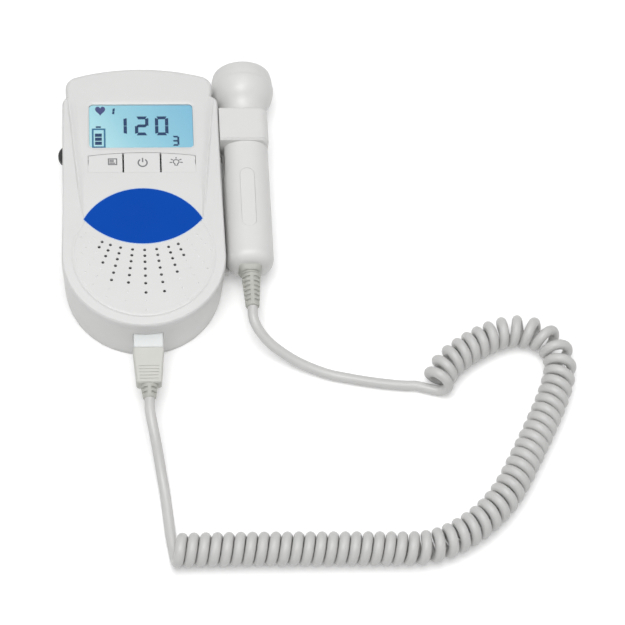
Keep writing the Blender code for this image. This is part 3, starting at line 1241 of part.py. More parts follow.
def curl_points():
    """Left-handed helix along the coil's axis, opened on bends so that no curl meets the next."""
    axis = spline_points([(x, y + LOWER_END_Y, COIL_AXIS_Z) for x, y in COIL_ROUTE], CURL_PITCH / 8)
    for _ in range(CURL_SMOOTHING):
        inner = [(a + b * 2 + c) / 4 for a, b, c in zip(axis, axis[1:], axis[2:])]
        axis = [axis[0]] + inner + [axis[-1]]
    step = (axis[1] - axis[0]).length
    tangents = []
    for i in range(len(axis)):
        ahead = axis[min(i + 1, len(axis) - 1)]
        behind = axis[max(i - 1, 0)]
        tangents.append((ahead - behind).normalized())
    window = 8
    phases = [0.0]
    for i in range(len(axis) - 1):
        first = max(i - window, 0)
        last = min(i + window, len(axis) - 1)
        bend = tangents[first].angle(tangents[last]) / (step * (last - first))
        pitch = CURL_PITCH / (1 - CURL_BEND_ALLOWANCE * CURL_MEAN_RADIUS * bend)
        phases.append(phases[-1] + math.tau * (axis[i + 1] - axis[i]).length / pitch)
    turns = math.floor(phases[-1] / math.tau)
    scale = turns * math.tau / phases[-1]
    phases = [p * scale for p in phases]
    points = []
    index = 0
    for k in range(turns * CURL_POINTS + 1):
        phase = math.tau * k / CURL_POINTS
        while index < len(phases) - 2 and phases[index + 1] < phase:
            index += 1
        share = (phase - phases[index]) / (phases[index + 1] - phases[index])
        place = axis[index].lerp(axis[index + 1], share)
        ahead = tangents[index].lerp(tangents[index + 1], share).normalized()
        side = Vector((ahead.y, -ahead.x, 0.0))
        offset = side * math.sin(phase) - Vector((0.0, 0.0, 1.0)) * math.cos(phase)
        points.append(place + offset * CURL_MEAN_RADIUS)
    slope = CURL_PITCH / (math.tau * CURL_MEAN_RADIUS)
    for end, sign in ((0, -1), (-1, 1)):
        ahead = tangents[end]
        side = Vector((ahead.y, -ahead.x, 0.0))
        way = (side + ahead * slope).normalized() * sign
        tail = points[end] + way * CORD_RADIUS * 2
        if end == 0:
            points.insert(0, tail)
        else:
            points.append(tail)
    return points, turns


def segment_distance(p1, q1, p2, q2):
    """Least distance between two straight segments."""
    d1, d2, r = q1 - p1, q2 - p2, p1 - p2
    a, e, f = d1.dot(d1), d2.dot(d2), d2.dot(r)
    c, b = d1.dot(r), d1.dot(d2)
    denominator = a * e - b * b
    s = min(max((b * f - c * e) / denominator, 0.0), 1.0) if denominator > 1e-18 else 0.0
    t = (b * s + f) / e
    if t < 0.0:
        t, s = 0.0, min(max(-c / a, 0.0), 1.0)
    elif t > 1.0:
        t, s = 1.0, min(max((b - c) / a, 0.0), 1.0)
    return ((p1 + d1 * s) - (p2 + d2 * t)).length


def least_gap(points):
    """Smallest space between the tube's surface and itself, over all later curls nearby."""
    least = None
    for i in range(len(points) - 1):
        for j in range(i + 5, min(i + 5 * CURL_POINTS, len(points) - 1)):
            distance = segment_distance(points[i], points[i + 1], points[j], points[j + 1])
            if least is None or distance < least:
                least = distance
    return least - 2 * CORD_RADIUS


def face_gap(end, towards):
    """The point a clearance beyond a tube's end, in the direction that the tube points."""
    return end + (end - towards).normalized() * GAP


def cord():
    points, turns = curl_points()
    gap = least_gap(points)
    print(f"curly cord: {turns} curls, least gap to itself {gap * 1000:.2f} mm,"
          f" wanted over {LEAST_CURL_GAP * 1000:.2f} mm")
    tube("cord_coil", points, CORD_RADIUS, 1, CORD_GREY)
    straight = CORD_RADIUS * 2
    plug_exit = Vector((PLUG_X, plug_base_y() - PLUG_BODY_LENGTH - 2 * GAP - PLUG_BOOT_LENGTH, PLUG_Z))
    probe_exit_y = GROMMET_TOP_Y - GROMMET_LENGTH - PROBE_BOOT_COLLAR - 2 * GAP - PROBE_BOOT_LENGTH
    probe_exit = Vector((PROBE_X, probe_exit_y, PROBE_Z))
    down = Vector((0.0, -1.0, 0.0))
    for name, start, route, last, inner in (
            ("cord_plug_run", plug_exit, PLUG_RUN_ROUTE, points[0], points[1]),
            ("cord_probe_run", probe_exit, PROBE_RUN_ROUTE, points[-1], points[-2])):
        end = face_gap(last, inner)
        before = end + (last - inner).normalized() * straight
        way = [Vector((x, y + LOWER_END_Y, z)) for x, y, z in route]
        knots = [start, start + down * straight] + way + [before, end]
        middle = spline_points(knots[1:-1], RUN_POINT_SPACING)
        tube(name, [start] + middle + [end], CORD_RADIUS, 2, CORD_GREY)


front_shell()
back_shell()
display()
keys()
label_plate()
speaker()
batteries()
battery_door()
boards()
volume_control()
shell_screws()
probe_socket()
plug()
probe_body()
probe_head()
probe_board()
probe_boot()
cord()
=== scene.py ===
import math

import bmesh
import bpy
from mathutils import Matrix, Vector

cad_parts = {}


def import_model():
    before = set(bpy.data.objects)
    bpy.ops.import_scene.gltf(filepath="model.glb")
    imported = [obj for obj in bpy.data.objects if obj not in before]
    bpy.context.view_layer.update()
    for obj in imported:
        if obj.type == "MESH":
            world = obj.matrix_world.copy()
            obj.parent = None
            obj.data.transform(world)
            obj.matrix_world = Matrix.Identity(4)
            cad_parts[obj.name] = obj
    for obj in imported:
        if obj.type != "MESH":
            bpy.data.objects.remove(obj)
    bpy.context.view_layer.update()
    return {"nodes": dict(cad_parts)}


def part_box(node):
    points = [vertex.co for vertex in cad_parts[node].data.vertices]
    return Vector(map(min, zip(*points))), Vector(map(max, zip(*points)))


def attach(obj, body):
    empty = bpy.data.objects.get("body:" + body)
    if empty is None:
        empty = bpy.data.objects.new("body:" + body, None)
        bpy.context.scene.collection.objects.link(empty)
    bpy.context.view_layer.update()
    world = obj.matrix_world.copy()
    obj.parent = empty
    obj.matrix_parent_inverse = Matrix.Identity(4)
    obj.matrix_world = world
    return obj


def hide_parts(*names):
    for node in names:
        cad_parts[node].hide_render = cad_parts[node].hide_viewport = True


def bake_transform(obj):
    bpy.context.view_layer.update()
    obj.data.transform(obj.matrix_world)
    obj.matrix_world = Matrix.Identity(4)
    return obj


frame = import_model()
NODES = frame["nodes"]

# Main unit, in metres: plan, heights, and how far its walls stand back on either side
UNIT_HALF_WIDTH = 0.0368
LOWER_END_Y = -0.0675
FOOT_CENTRE_Y = LOWER_END_Y + UNIT_HALF_WIDTH
TOP_Y = 0.0688
TOP_ARC_RADIUS = 0.1020
SHOULDER_Y = 0.0537
SHOULDER_RADIUS = 0.0044
HOOD_HALF_WIDTH = 0.0344
HOOD_FOOT_X = 0.0338
HOOD_CORNER_RADIUS = 0.0065
HOOD_FOOT_DEG = -6
DOCK_RELIEF = 0.0012
DOCK_RELIEF_Y = 0.0150
DOCK_RELIEF_TAPER = 0.0650
LEFT_RELIEF = 0.0009
LEFT_RELIEF_Y = -0.0100
LEFT_RELIEF_TAPER = 0.0400
SHELL_WALL = 0.0020
FACE_Z = 0.0280
FACE_ROUND = 0.0019
INNER_FACE_Z = 0.0260
PARTING_Z = 0.0240
OVERRUN = 0.001

# Places of the display, keys, label and volume wheel
WINDOW_HALF_WIDTH = 0.0240
WINDOW_BOTTOM_Y = 0.0250
WINDOW_TOP_Y = 0.0492
LENS_TOP_Z = 0.0272
PANEL_Z = 0.0264
KEY_HALF_SPAN = 0.0244
KEY_HINGE_Y = 0.0113
KEY_LOW_Z = 0.0262
LABEL_HALF_WIDTH = 0.0268
LABEL_TIP_Y = -0.0133
LABEL_RISE = 0.0163
LABEL_DROP = 0.0131
WHEEL_X, WHEEL_Y = -0.0322, 0.0240
WHEEL_RADIUS = 0.0057

# Probe, the rail that carries it, plug and cord
PROBE_X, PROBE_Z = 0.0480, 0.0150
HANDLE_RADIUS = 0.0106
HANDLE_POWER = 2.4
HANDLE_END_Y = -0.0328
BLOCK_LOW_Y = 0.0297
BLOCK_TOP_Y = 0.0476
BLOCK_HALF_HEIGHT = 0.0122
RAIL_LOW_Y, RAIL_HIGH_Y = 0.0310, 0.0450
RAIL_NECK_HALF, RAIL_FLANGE_HALF = 0.0025, 0.0045
RAIL_FLANGE_X = (0.0381, 0.0393)
RAIL_GAP = 0.0003
DOCK_TRAVEL = 0.0150
PLUG_X, PLUG_Z = 0.0012, 0.0152
PLUG_CORD_Y = -0.0973
CORD_RADIUS = 0.0023
CURL_MEAN_RADIUS = 0.00515
CURL_PITCH = 0.00485
COIL_AXIS_Z = 0.0077


def placed(name, data):
    item = bpy.data.objects.new(name, data)
    bpy.context.scene.collection.objects.link(item)
    return item


# Camera, placed where the photograph was taken from
CAMERA_ANGLES_DEG = (60.62, 11.17, 9.05)
CAMERA_AIM = Vector((0.07627, -0.04676, 0.0))
CAMERA_DISTANCE = 1.0
SENSOR_WIDTH = 36.0
FOCAL_PIXELS, PHOTO_PIXELS = 2201.67, 625
CLIP_START, CLIP_END = 0.01, 20.0


def photo_camera():
    elevation, turn, roll = (math.radians(a) for a in CAMERA_ANGLES_DEG)
    ahead = Vector((math.sin(turn) * math.cos(elevation), math.cos(turn) * math.cos(elevation),
                    -math.sin(elevation)))
    right = Vector((math.cos(turn), -math.sin(turn), 0.0))
    up = right.cross(ahead)
    side = right * math.cos(roll) + up * math.sin(roll)
    top = up * math.cos(roll) - right * math.sin(roll)
    data = bpy.data.cameras.new("camera")
    data.sensor_width = SENSOR_WIDTH
    data.lens = SENSOR_WIDTH * FOCAL_PIXELS / PHOTO_PIXELS
    data.clip_start, data.clip_end = CLIP_START, CLIP_END
    camera = placed("camera", data)
    turn_to = Matrix((side, top, -ahead)).transposed().to_4x4()
    camera.matrix_world = Matrix.Translation(CAMERA_AIM - ahead * CAMERA_DISTANCE) @ turn_to
    bpy.context.scene.camera = camera


photo_camera()


# Materials: an owner is a material or the world, and input names have _ for a space
def set_inputs(node, **values):
    for name, value in values.items():
        node.inputs[name.replace("_", " ")].default_value = value
    return node


def add_node(owner, kind, operation=None, **values):
    node = owner.node_tree.nodes.new("ShaderNode" + kind)
    if operation:
        node.operation = operation
    return set_inputs(node, **values)


def link(owner, a, a_socket, b, b_socket):
    owner.node_tree.links.new(a.outputs[a_socket], b.inputs[b_socket])


def shader_of(mat):
    return mat.node_tree.nodes["Principled BSDF"]


def new_material(name, colour, roughness, metallic=0.0):
    mat = bpy.data.materials.new(name)
    mat.use_nodes = True
    set_inputs(shader_of(mat), Base_Color=(*colour, 1.0), Roughness=roughness, Metallic=metallic)
    return mat


def noise(mat, scale, detail=2.0, roughness=0.55, stretch=(1.0, 1.0, 1.0)):
    place = add_node(mat, "TexCoord")
    mapping = add_node(mat, "Mapping", Scale=stretch)
    texture = add_node(mat, "TexNoise", Scale=scale, Detail=detail, Roughness=roughness)
    link(mat, place, "Object", mapping, "Vector")
    link(mat, mapping, "Vector", texture, "Vector")
    return texture


def ramp(mat, source, stops, socket="Fac"):
    node = add_node(mat, "ValToRGB")
    elements = node.color_ramp.elements
    while len(elements) < len(stops):
        elements.new(0.5)
    for element, (position, colour) in zip(elements, stops):
        element.position = position
        element.color = (*colour, 1.0)
    link(mat, source, socket, node, "Fac")
    return node


def colour_from(mat, node, *sockets):
    for socket in sockets:
        link(mat, node, "Color", shader_of(mat), socket)


def uneven(mat, texture, base, below, above):
    """Roughness that wanders from below to above its base value with the texture."""
    levels = ramp(mat, texture, [(0.3, (base - below,) * 3), (0.7, (base + above,) * 3)])
    colour_from(mat, levels, "Roughness")


def bump(mat, source, strength, distance):
    node = add_node(mat, "Bump", Strength=strength, Distance=distance)
    link(mat, source, "Fac", node, "Height")
    link(mat, node, "Normal", shader_of(mat), "Normal")


def across(mat, low, high, stops, slant=0.0):
    """Colour ramp along X between low and high, or along X plus a share of Y."""
    place = add_node(mat, "TexCoord")
    split = add_node(mat, "SeparateXYZ")
    along = add_node(mat, "Math", "MULTIPLY_ADD")
    along.inputs[1].default_value = slant
    spread = add_node(mat, "MapRange", From_Min=low, From_Max=high)
    link(mat, place, "Object", split, "Vector")
    link(mat, split, "Y", along, 0)
    link(mat, split, "X", along, 2)
    link(mat, along, "Value", spread, "Value")
    return ramp(mat, spread, stops, "Result")


CLOUD_SCALE, GLOSS_SCALE = 45.0, 160.0
GRAIN_STRENGTH = 0.35


def moulded(name, colour, roughness=0.42, spread=0.012, grain=2600.0, depth=0.000012, specular=None):
    """Moulded plastic: a faint cloudiness of colour, uneven gloss and a fine spark texture."""
    mat = new_material(name, colour, roughness)
    stops = [(place, tuple(min(c * factor, 1.0) for c in colour))
             for place, factor in ((0.3, 1 - spread), (0.7, 1 + spread))]
    colour_from(mat, ramp(mat, noise(mat, CLOUD_SCALE, 3.0), stops), "Base Color")
    uneven(mat, noise(mat, GLOSS_SCALE, 4.0), roughness, 0.04, 0.05)
    bump(mat, noise(mat, grain), GRAIN_STRENGTH, depth)
    if specular is not None:
        set_inputs(shader_of(mat), Specular_IOR_Level=specular)
    return mat


CASE = moulded("case_white_satin", (0.695, 0.695, 0.69), 0.44, depth=0.000006)
CASE_LOWER = moulded("case_white_lower", (0.70, 0.70, 0.69), 0.46, depth=0.000006)
KEY_WHITE = moulded("key_white", (0.705, 0.705, 0.70), 0.42, grain=3200.0, depth=0.000005)
PROBE_WHITE = moulded("probe_white_gloss", (0.70, 0.70, 0.69), 0.38, grain=3600.0, depth=0.000002)
NOSE_WHITE = moulded("plug_nose_white", (0.71, 0.73, 0.73), 0.36)
BOOT_GREY = moulded("boot_rubber_grey", (0.465, 0.47, 0.432), 0.55, spread=0.03, grain=2200.0)
PLUG_GREY = moulded("plug_overmould_grey", (0.58, 0.58, 0.545), 0.5, spread=0.03, grain=2200.0)
CORD_GREY = moulded("cord_jacket_grey", (0.585, 0.585, 0.575), 0.34, spread=0.02, grain=3000.0,
                    depth=0.000008)
WHEEL_BLACK = moulded("wheel_black", (0.012, 0.012, 0.013), spread=0.2)
INNER_BLACK = moulded("component_black", (0.02, 0.02, 0.022), 0.5, spread=0.2)
PRINT_GREY = moulded("print_grey", (0.15, 0.15, 0.16), 0.5, spread=0.03)
ACOUSTIC = moulded("acoustic_window", (0.50, 0.51, 0.52), 0.35, spread=0.02)
CERAMIC = moulded("piezo_ceramic", (0.62, 0.56, 0.44), 0.5, spread=0.05)
FERRITE = moulded("ferrite_grey", (0.06, 0.06, 0.065), 0.6, spread=0.15)
DIFFUSER = moulded("backlight_diffuser", (0.85, 0.88, 0.90), 0.5)
LABEL = moulded("label_blue_satin", (0.002, 0.066, 0.415), 0.55, spread=0.03, grain=4000.0,
                depth=0.000002, specular=0.06)
LABEL_EDGE = moulded("label_pale_edge", (0.42, 0.58, 0.84), 0.35, spread=0.02)
INK, INK_HEART, INK_SOFT = (
    moulded("segment_" + name, colour, 0.6, spread=0.0, depth=0.0, specular=0.1)
    for name, colour in (("navy", (0.004, 0.036, 0.115)), ("violet", (0.048, 0.062, 0.195)),
                         ("mid_blue", (0.030, 0.160, 0.290))))


def display_material():
    """Lit liquid-crystal panel: pale cyan at the left, bluer at the upper right."""
    mat = new_material("display_cyan_lit", (0.3, 0.6, 0.7), 0.25)
    colours = across(mat, -0.006, 0.046, [(0.0, (0.420, 0.720, 0.770)), (0.4, (0.270, 0.570, 0.680)),
                                          (1.0, (0.185, 0.470, 0.640))], 0.55)
    colour_from(mat, colours, "Base Color", "Emission Color")
    set_inputs(shader_of(mat), Emission_Strength=0.05)
    return mat


def clear_material():
    mat = new_material("clear_cover", (0.9, 0.95, 0.96), 0.06)
    set_inputs(shader_of(mat), Alpha=0.02, Specular_IOR_Level=0.3)
    bump(mat, noise(mat, 900.0), 0.05, 0.000004)
    return mat


def steel_material():
    roughness = 0.28
    mat = new_material("plated_steel", (0.56, 0.56, 0.58), roughness, 1.0)
    streaks = noise(mat, 500.0, 3.0, 0.6, (1.0, 1.0, 0.08))
    uneven(mat, streaks, roughness, 0.08, 0.12)
    bump(mat, streaks, 0.12, 0.00001)
    return mat


def board_material():
    mat = new_material("solder_mask_green", (0.015, 0.16, 0.06), 0.4)
    place = add_node(mat, "TexCoord")
    tracks = add_node(mat, "TexBrick", Scale=260.0, Mortar_Size=0.012, Color1=(0.006, 0.020, 0.012, 1.0),
                      Color2=(0.007, 0.023, 0.014, 1.0), Mortar=(0.013, 0.038, 0.022, 1.0))
    link(mat, place, "Object", tracks, "Vector")
    colour_from(mat, tracks, "Base Color")
    return mat


def sleeve_material():
    """Battery sleeve: one plain colour between two bare metal ends."""
    metal, sleeve_green = (0.45, 0.45, 0.47), (0.04, 0.16, 0.09)
    mat = new_material("cell_sleeve", (0.1, 0.25, 0.13), 0.3)
    colours = across(mat, -0.026, 0.026, [(0.0, metal), (0.04, sleeve_green), (0.96, sleeve_green),
                                          (1.0, metal)])
    colour_from(mat, colours, "Base Color")
    bump(mat, noise(mat, 700.0), 0.1, 0.00001)
    return mat


DISPLAY = display_material()
CLEAR = clear_material()
STEEL = steel_material()
BOARD = board_material()
CELL_SLEEVE = sleeve_material()


# Mesh helpers
CUT, JOIN = "DIFFERENCE", "UNION"


def add_piece(name, mesh, mat, body=None, smooth_angle=30.0):
    mesh.name = name
    mesh.materials.clear()
    mesh.materials.append(mat)
    piece = placed(name, mesh)
    if smooth_angle:
        mesh.shade_smooth()
        mesh.set_sharp_from_angle(angle=math.radians(smooth_angle))
        weighted = piece.modifiers.new("even_normals", "WEIGHTED_NORMAL")
        weighted.keep_sharp = True
        weighted.weight = 90
    if body:
        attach(piece, body)
    return piece


def to_mesh(bm, name):
    bmesh.ops.recalc_face_normals(bm, faces=bm.faces[:])
    mesh = bpy.data.meshes.new(name)
    bm.to_mesh(mesh)
    bm.free()
    return mesh


def merged(parts):
    bm = bmesh.new()
    for part in parts:
        mesh = bpy.data.meshes.new("part")
        part.to_mesh(mesh)
        part.free()
        bm.from_mesh(mesh)
        bpy.data.meshes.remove(mesh)
    return bm


def loft(rings, closed=False):
    """Mesh through rings of equal count: capped at both ends, or closed upon itself."""
    bm = bmesh.new()
    made = [[bm.verts.new(p) for p in ring] for ring in rings]
    count = len(made[0])
    for a, b in zip(made, made[1:] + (made[:1] if closed else [])):
        for k in range(count):
            bm.faces.new((a[k], a[(k + 1) % count], b[(k + 1) % count], b[k]))
    if not closed:
        bm.faces.new(made[0][::-1])
        bm.faces.new(made[-1])
    return bm


def layers(outline, levels):
    """Loft of the outline that outline(inset) gives, at each (inset, z) of levels."""
    return loft([[(x, y, z) for x, y in outline(inset)] for inset, z in levels])


def prism_bm(outline, low, high):
    return loft([[(x, y, z) for x, y in outline] for z in (low, high)])


def upright_ring(outline, y, x0, z0):
    """Section in X and Z about (x0, z0), placed at y."""
    return [(x0 + x, y, z0 + z) for x, z in outline]


def revolve(profile, steps=96):
    """Solid turned about Y: profile holds (radius, y), from the axis to the axis."""
    bm = bmesh.new()
    rings = []
    for radius, y in profile:
        turns = [math.tau * k / steps for k in range(steps if radius else 1)]
        rings.append([bm.verts.new((radius * math.cos(a), y, radius * math.sin(a))) for a in turns])
    for a, b in zip(rings, rings[1:]):
        for k in range(steps):
            n = (k + 1) % steps
            if len(a) == 1 and len(b) == 1:
                continue
            if len(a) == 1:
                bm.faces.new((a[0], b[n], b[k]))
            elif len(b) == 1:
                bm.faces.new((a[k], a[n], b[0]))
            else:
                bm.faces.new((a[k], a[n], b[n], b[k]))
    return bm


def box_bm(low, high):
    bm = bmesh.new()
    centre = [(a + b) / 2 for a, b in zip(low, high)]
    size = [b - a for a, b in zip(low, high)]
    bmesh.ops.create_cube(bm, size=1.0, matrix=Matrix.Translation(centre)
                          @ Matrix.Diagonal((*size, 1.0)))
    return bm


def cones_bm(places, low, high, radius, top_radius, sides):
    """Upright round cutters from low to high at each (x, y) of places."""
    bm = bmesh.new()
    for x, y in places:
        bmesh.ops.create_cone(bm, cap_ends=True, segments=sides, radius1=radius, radius2=top_radius,
                              depth=high - low, matrix=Matrix.Translation((x, y, (low + high) / 2)))
    return bm


def squared(bm, power):
    """Turned shape pushed out towards the corners of its section."""
    for vert in bm.verts:
        radius = math.hypot(vert.co.x, vert.co.z)
        if radius > 0.0:
            grow = (abs(vert.co.x / radius) ** power + abs(vert.co.z / radius) ** power) ** (-1 / power)
            vert.co.x *= grow
            vert.co.z *= grow
    return bm


def moved(bm, x=0.0, y=0.0, z=0.0):
    bmesh.ops.translate(bm, verts=bm.verts[:], vec=(x, y, z))
    return bm


def combined(base, steps, bevel=0.0, segments=2, angle=30.0):
    """base changed by (operation, bmesh) steps, then its edges softened; returns a mesh."""
    item = placed("base", to_mesh(base, "base"))
    tools = []
    for operation, bm in steps:
        tools.append(placed("tool", to_mesh(bm, "tool")))
        step = item.modifiers.new("step", "BOOLEAN")
        step.operation = operation
        step.solver = "EXACT"
        step.object = tools[-1]
    if bevel:
        soften = item.modifiers.new("soften", "BEVEL")
        soften.width = bevel
        soften.segments = segments
        soften.limit_method = "ANGLE"
        soften.angle_limit = math.radians(angle)
        soften.use_clamp_overlap = True
    bpy.context.view_layer.update()
    result = bpy.data.meshes.new_from_object(item.evaluated_get(bpy.context.evaluated_depsgraph_get()))
    for extra in tools + [item]:
        bpy.data.objects.remove(extra, do_unlink=True)
    return result


# Outlines in the plan, as lists of (x, y)
def capped(value):
    return min(max(value, 0.0), 1.0)


def eased(share):
    return share * share * (3 - 2 * share)


def arc(centre, radius, start_deg, end_deg, count):
    x, y = centre
    points = []
    for i in range(count + 1):
        angle = math.radians(start_deg + (end_deg - start_deg) * i / count)
        points.append((x + radius * math.cos(angle), y + radius * math.sin(angle)))
    return points


def rounded_rectangle(half_width, low_y, high_y, radius, steps=6, x=0.0):
    low, high = low_y + radius, high_y - radius
    reach = half_width - radius
    points = arc((x + reach, low), radius, -90, 0, steps) + arc((x + reach, high), radius, 0, 90, steps)
    points += arc((x - reach, high), radius, 90, 180, steps)
    return points + arc((x - reach, low), radius, 180, 270, steps)


def half_outline(inset, relief, corner_relief, full_y, taper):
    """Right half of the unit's plan; its wall stands back by relief from full_y on, tapering below."""
    points = arc((0.0, FOOT_CENTRE_Y), UNIT_HALF_WIDTH - inset, -90, 0, 36)
    low = points[-1][1]
    points += [(UNIT_HALF_WIDTH - inset, low + (DOCK_RELIEF_Y - low) * i / 6) for i in range(1, 7)]
    points = [(x - relief * capped(1 - (full_y - y) / taper), y) for x, y in points]
    shoulder_x = UNIT_HALF_WIDTH - relief - SHOULDER_RADIUS
    radius = SHOULDER_RADIUS - inset
    sweep = math.degrees(math.acos((HOOD_FOOT_X - corner_relief - inset - shoulder_x) / radius))
    points += arc((shoulder_x, SHOULDER_Y - SHOULDER_RADIUS), radius, 0, sweep, 10)
    top_centre_y = TOP_Y - TOP_ARC_RADIUS
    corner_x = HOOD_HALF_WIDTH - corner_relief - HOOD_CORNER_RADIUS
    corner_y = top_centre_y + math.sqrt((TOP_ARC_RADIUS - HOOD_CORNER_RADIUS) ** 2 - corner_x ** 2)
    lean = math.degrees(math.atan2(corner_y - top_centre_y, corner_x))
    points += arc((corner_x, corner_y), HOOD_CORNER_RADIUS - inset, HOOD_FOOT_DEG, lean, 12)
    return points + arc((0.0, top_centre_y), TOP_ARC_RADIUS - inset, lean, 90, 14)[1:]


def unit_outline(inset, relief=0.0):
    """Plan outline of the main unit, moved inwards by inset."""
    right = half_outline(inset, relief, relief, DOCK_RELIEF_Y, DOCK_RELIEF_TAPER)
    left = half_outline(inset, LEFT_RELIEF, 0.0, LEFT_RELIEF_Y, LEFT_RELIEF_TAPER)
    return right + [(-x, y) for x, y in reversed(left[1:-1])]


def label_outline(shrink):
    half = LABEL_HALF_WIDTH - shrink
    points = []
    for rise, sign in ((LABEL_RISE - shrink, 1), (LABEL_DROP - shrink, -1)):
        radius = (half ** 2 + rise ** 2) / (2 * rise)
        reach = math.degrees(math.asin(half / radius))
        centre = (0.0, LABEL_TIP_Y + sign * (rise - radius))
        points += arc(centre, radius, 90 * sign - reach, 90 * sign + reach, 40)[:-1]
    return points


# Unit's face: crease at each side of the hood, slanting bands, round field and grille
DISC_RADIUS = 0.0321
DISC_CENTRE_Y = -0.0312
BAND_TIP_X = 0.0269
BAND_TIP_Y = -0.0130
BAND_JOIN_Y = -0.0250
BAND_STEP = 0.00022
BAND_SLOPE = 0.055
CREASE_TOP_X = HOOD_FOOT_X - 0.0005
CREASE_REACH = 0.0036
CREASE_LEAST_REACH = 0.0005
CREASE_DEPTH = 0.00120
CREASE_LEAST_SHARE = 0.35
CREASE_GROWTH = 0.022
CREASE_FADE = 0.0050
CREASE_OUTER = 0.0009
CREASE_OUTER_SHARE = 0.75
GROOVE_RADIUS = 0.0312
GROOVE_HALF_WIDTH = 0.0016
GROOVE_DEPTH = 0.00040
GRILLE_FOCUS_Y = 0.0121
GRILLE_RADII = (0.0415, 0.0445, 0.0476, 0.0511, 0.0547, 0.0585, 0.0632, 0.0676, 0.0722, 0.0768)
GRILLE_RAYS = ((-45.0, 0), (-38.5, 0), (-32.5, 0), (-26.4, 2), (-20.9, 4), (-14.4, 6), (-7.0, 6),
               (0.4, 7), (7.8, 7), (15.3, 5), (21.6, 3), (28.5, 0), (35.0, 0), (41.5, 0))
DIMPLE_FROM_EDGE, DIMPLE_FROM_LABEL = 0.0025, 0.0015


def crease_x(y):
    if y >= BAND_TIP_Y:
        share = (y - BAND_TIP_Y) / (SHOULDER_Y - BAND_TIP_Y)
        return BAND_TIP_X + (CREASE_TOP_X - BAND_TIP_X) * share
    join_x = math.sqrt(DISC_RADIUS ** 2 - (BAND_JOIN_Y - DISC_CENTRE_Y) ** 2)
    return BAND_TIP_X + (join_x - BAND_TIP_X) * eased((BAND_TIP_Y - y) / (BAND_TIP_Y - BAND_JOIN_Y))


def band_cutter():
    """Lowers the face outside the creases and the round field, sloping down to the rim."""
    reach = UNIT_HALF_WIDTH + OVERRUN
    ys = [SHOULDER_Y + 0.0003 + (BAND_TIP_Y - SHOULDER_Y) * i / 8 for i in range(9)]
    ys += [BAND_TIP_Y + (BAND_JOIN_Y - BAND_TIP_Y) * i / 12 for i in range(1, 13)]
    right = [((crease_x(y), y), (reach, y)) for y in ys]
    start = math.degrees(math.asin((BAND_JOIN_Y - DISC_CENTRE_Y) / DISC_RADIUS))
    for x, y in arc((0.0, DISC_CENTRE_Y), DISC_RADIUS, start, -90, 48)[1:]:
        angle = math.atan2(y - FOOT_CENTRE_Y, x)
        outer = (reach * math.cos(angle), FOOT_CENTRE_Y + reach * math.sin(angle))
        right.append(((x, y), (reach, y) if y > FOOT_CENTRE_Y else outer))
    left = [((-a, b), (-c, d)) for (a, b), (c, d) in reversed(right[:-1])]
    rings = []
    for inner, outer in right + left:
        low_in = FACE_Z - BAND_STEP
        low_out = low_in - BAND_SLOPE * math.dist(inner, outer)
        rings.append([(*inner, low_in), (*outer, low_out), (*outer, FACE_Z + OVERRUN),
                      (*inner, FACE_Z + OVERRUN)])
    return loft(rings)


def crease_cutter():
    """Long wedge that lets the hood fall softly to the crease on each side."""
    halves = []
    for side in (1, -1):
        rings = []
        for i in range(25):
            y = SHOULDER_Y + 0.0006 + (BAND_TIP_Y - SHOULDER_Y) * i / 24
            share = capped((y - BAND_TIP_Y) / CREASE_GROWTH)
            width = CREASE_LEAST_REACH + (CREASE_REACH - CREASE_LEAST_REACH) * share
            x = crease_x(min(y, SHOULDER_Y))
            fall = CREASE_DEPTH * (CREASE_LEAST_SHARE + (1 - CREASE_LEAST_SHARE) * share)
            fall *= min((SHOULDER_Y + 0.0007 - y) / CREASE_FADE, 1.0)
            section = [(x - width * (1 - k / 7), FACE_Z + 0.00002 - fall * (k / 7) ** 2) for k in range(8)]
            section += [(x + CREASE_OUTER * k / 3, FACE_Z - fall * (1 - CREASE_OUTER_SHARE * (k / 3) ** 0.8))
                        for k in (1, 2, 3)]
            section += [(x + CREASE_OUTER, FACE_Z + OVERRUN), (x - width, FACE_Z + OVERRUN)]
            rings.append([(side * px, y, z) for px, z in section])
        halves.append(loft(rings))
    return merged(halves)


def groove_cutter():
    """Shallow ring-shaped cutter about the round field's centre."""
    rings = []
    for k in range(128):
        angle = math.tau * k / 128
        section = ((GROOVE_RADIUS - GROOVE_HALF_WIDTH, FACE_Z + 0.0002),
                   (GROOVE_RADIUS, FACE_Z - GROOVE_DEPTH),
                   (GROOVE_RADIUS + GROOVE_HALF_WIDTH, FACE_Z + 0.0002))
        rings.append([(r * math.cos(angle), DISC_CENTRE_Y + r * math.sin(angle), z) for r, z in section])
    return loft(rings, closed=True)


def hole_places(blind):
    """Places of the speaker's open holes, or of the blind dimples that carry the fan on."""
    label_radius = (LABEL_HALF_WIDTH ** 2 + LABEL_DROP ** 2) / (2 * LABEL_DROP)
    label_centre_y = LABEL_TIP_Y + label_radius - LABEL_DROP
    places = []
    for ray, count in GRILLE_RAYS:
        angle = math.radians(ray)
        for radius in GRILLE_RADII[count:] if blind else GRILLE_RADII[:count]:
            x, y = radius * math.sin(angle), GRILLE_FOCUS_Y - radius * math.cos(angle)
            inside = math.hypot(x, y - DISC_CENTRE_Y) < DISC_RADIUS - DIMPLE_FROM_EDGE
            clear = math.hypot(x, y - label_centre_y) > label_radius + DIMPLE_FROM_LABEL
            if not blind or (inside and clear):
                places.append((x, y))
    return places


